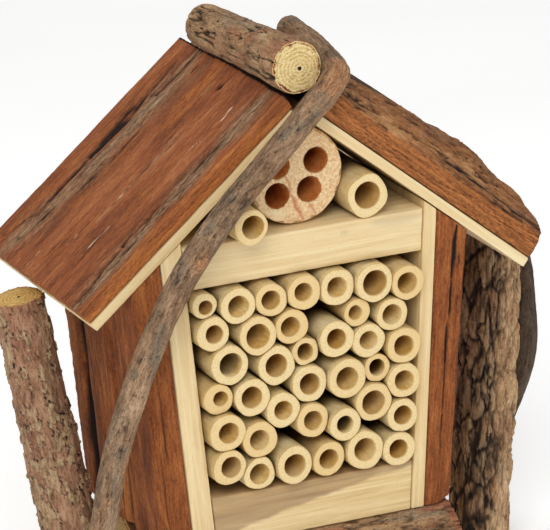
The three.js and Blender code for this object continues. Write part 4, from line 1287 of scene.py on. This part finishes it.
def drilled_block():
    """A disc of end grain with four drilled holes, its pores and ring lines in the face."""
    shape = Shape()
    rings = [(np.zeros(2), BLOCK_RADIUS - 0.5)]
    rings += [(np.array(hole, float), DRILL / 2 + 0.1) for hole in DRILLED_HOLES]
    outlines = []
    for number, (middle, radius) in enumerate(rings):
        count = 200 if number == 0 else 60
        angle = np.arange(count) * TURN / count
        wobble = 1 + 0.006 * np.sin(5 * angle + number) + 0.004 * np.sin(17 * angle)
        outlines.append(middle + radius * wobble[:, None] * np.stack([np.cos(angle), np.sin(angle)], axis=-1))
    lattice = np.arange(-16, 16, 0.4)
    across, up = np.meshgrid(lattice, lattice)
    loose = np.stack([across.ravel(), up.ravel(), 0 * up.ravel()], axis=-1)
    loose[:, 0] += 0.12 * noise(loose + 3, 0.5, 451)
    loose[:, 1] += 0.12 * noise(loose + 9, 0.5, 452)
    spare = loose[:, :2]
    keep = np.linalg.norm(spare, axis=1) < BLOCK_RADIUS - 0.9
    for middle, radius in rings[1:]:
        keep &= np.linalg.norm(spare - middle, axis=1) > radius + 0.25
    spare = spare[keep]
    flat = np.vstack(outlines + [spare])
    edges, start = [], 0
    for outline in outlines:
        count = len(outline)
        edges += [(start + i, start + (i + 1) % count) for i in range(count)]
        start += count
    made = geometry.delaunay_2d_cdt([Vector(p) for p in flat], edges, [], 0, 1e-5)
    flat = np.array([tuple(v) for v in made[0]])
    faces = np.array(made[2])
    centre = flat[faces].mean(axis=1)
    solid = np.linalg.norm(centre, axis=1) < BLOCK_RADIUS
    for middle, radius in rings[1:]:
        solid &= np.linalg.norm(centre - middle, axis=1) > radius - 0.05
    faces = faces[solid]

    def lines(flat):
        """Reddish rings that curve down from the holes, and cream patches."""
        bent = flat + 0.35 * noise(laid_flat(flat), 2.5, 455)[:, None]
        return strokes(bent, BLOCK_RED), strokes(bent, BLOCK_CREAM)

    def spots(flat, depth):
        """A place on the block from its face coordinates and its depth."""
        y = BLOCK_FRONT + depth
        return np.stack([flat[:, 0], y + 0 * flat[:, 0], BLOCK_HEIGHT + flat[:, 1]], axis=-1)

    solid_face = laid_flat(flat)
    fixed = np.arange(len(flat)) < start
    torn = np.where(fixed, 0.0, 0.12 * fractal(solid_face, 0.9, 456, 3) + 0.02)
    red, cream = lines(flat)
    depth = 0.1 + torn + 0.2 * red * ~fixed
    shape.add(spots(flat, depth), solid_face, marks_of(red, cream), faces, 0)
    for number, outline in enumerate(outlines):
        count = len(outline)
        grown, deepest = (1, TUBE_BACK - BLOCK_FRONT) if number == 0 else (-1, DRILL_DEPTH)
        middle = rings[number][0]
        out = (outline - middle) / np.linalg.norm(outline - middle, axis=1)[:, None]
        rows, grain, marks, kinds = [], [], [], []
        steps = (0.1, 0.18, 0.35, 0.8, 1.5, 2.5, 4, 6, 8.5, 12, 17, 24, 33, deepest)
        for depth in steps:
            widen = (0.5 if number == 0 else 0.1) * smooth(0.1, 0.5, depth)
            groove = 0.06 * np.sin(1.9 * depth + 6 * out[:, 0]) * smooth(0.4, 1, depth)
            change = grown * (widen + groove) - (0.06 if number == 0 else 0)
            ring = outline + out * change[:, None] * (depth > 0.1)
            rows.append(spots(ring, depth))
            grain.append(np.concatenate([ring, np.full((count, 1), depth)], axis=1))
            # Painted shade down each drilled hole, stronger with depth.
            dim = 0.45 * smooth(4, 26, depth) if number else 0.0
            marks.append(np.broadcast_to((dim, 0.0, 0.0), (count, 3)))
            kinds.append(2 if number and depth > 0.1 else 0)
        # The bottom of each drilled hole gets painted shade.
        for share in (0.8, 0.4, 0.0):
            ring = middle + (ring - middle) * share if share else np.broadcast_to(middle, ring.shape)
            rows.append(spots(ring, deepest))
            grain.append(np.concatenate([ring, np.full((count, 1), deepest)], axis=1))
            marks.append(np.broadcast_to((0.5 if number else 0.0, 0.0, 0.0), (count, 3)))
            kinds.append(2 if number else 0)
        shape.rings(rows, grain, marks, kinds)
    shape.make("drilled_block", "block_wood", [BLOCK_END, BLOCK_END, BLOCK_HOLE], sharp=45)


drilled_block()


# ---------------------------------------------------------------- floor, light and camera
FLOOR_GLOW = 0.3        # keeps the floor as pale as the backdrop


def floor():
    """A wide pale floor."""
    reach, count = 3.0, 13
    line = np.linspace(-reach, reach, count)
    points = [(x, y, 0.0) for y in line for x in line]
    faces = []
    for row in range(count - 1):
        for column in range(count - 1):
            first = row * count + column
            faces.append((first, first + 1, first + count + 1, first + count))
    mesh = bpy.data.meshes.new("floor")
    mesh.from_pydata(points, [], faces)
    look = Look("floor_paint")
    grit = look.add("TexNoise", {"Scale": 40.0}).outputs["Fac"]
    tint = look.ramp(grit, [(0.3, "f6f6f5"), (0.7, "fbfbfa")])
    material = look.finish(tint, look.step(grit, 0.2, 0.8, 0.8, 0.9), grit, 0.01)
    look.surface.inputs["Emission Color"].default_value = (1.0, 1.0, 1.0, 1.0)
    look.surface.inputs["Emission Strength"].default_value = FLOOR_GLOW
    mesh.materials.append(material)
    made = bpy.data.objects.new("floor", mesh)
    bpy.context.scene.collection.objects.link(made)


# Lamps: name, place in metres, side in metres, power in watts.
LAMPS = [
    ("key", (-0.7, -1.3, 1.3), 0.9, 18),
    ("fill", (1.5, -1.1, 0.7), 1.2, 3.0),
    ("top", (0.1, 0.5, 1.7), 1.2, 7),
]
LAMP_TARGET = (0, 0, 0.1)
WORLD_STRENGTH = 0.35


def lamp(name, place, size, power):
    """A soft square light that faces the object."""
    data = bpy.data.lights.new(name, "AREA")
    data.shape = "SQUARE"
    data.size = size
    data.energy = power
    made = bpy.data.objects.new(name, data)
    made.location = place
    made.rotation_mode = "QUATERNION"
    made.rotation_quaternion = (Vector(LAMP_TARGET) - Vector(place)).to_track_quat("-Z", "Y")
    bpy.context.scene.collection.objects.link(made)


floor()
for name, place, size, power in LAMPS:
    lamp(name, place, size, power)
world = bpy.data.worlds.new("studio")
world.use_nodes = True
backdrop = next(n for n in world.node_tree.nodes if n.type == "BACKGROUND")
backdrop.inputs["Color"].default_value = (1.0, 1.0, 1.0, 1.0)
backdrop.inputs["Strength"].default_value = WORLD_STRENGTH
bpy.context.scene.world = world
bpy.context.scene.view_settings.view_transform = "Standard"

CAMERA_TARGET = (-10.18, 0.0, 126.3)
CAMERA_DISTANCE = 1532.5
LENS, SENSOR = 327.3, 36.0
AZIMUTH, ELEVATION, ROLL = (math.radians(a) for a in (23.61, 18.08, 2.23))


def camera():
    """Looks slightly down at the house from its front left, through a long lens."""
    level = math.cos(ELEVATION)
    ahead = Vector((math.sin(AZIMUTH) * level, math.cos(AZIMUTH) * level, -math.sin(ELEVATION)))
    right = Vector((math.cos(AZIMUTH), -math.sin(AZIMUTH), 0))
    upwards = right.cross(ahead)
    rolled_right = math.cos(ROLL) * right - math.sin(ROLL) * upwards
    rolled_up = math.sin(ROLL) * right + math.cos(ROLL) * upwards
    data = bpy.data.cameras.new("camera")
    data.sensor_width = SENSOR
    data.lens = LENS
    data.clip_start, data.clip_end = 0.05, 20.0
    made = bpy.data.objects.new("camera", data)
    turned = Matrix((rolled_right, rolled_up, -ahead)).transposed()
    made.matrix_world = Matrix.Translation(metres(CAMERA_TARGET)) @ Matrix.Translation(
        -ahead * CAMERA_DISTANCE * MM
    ) @ turned.to_4x4()
    bpy.context.scene.collection.objects.link(made)
    bpy.context.scene.camera = made


camera()
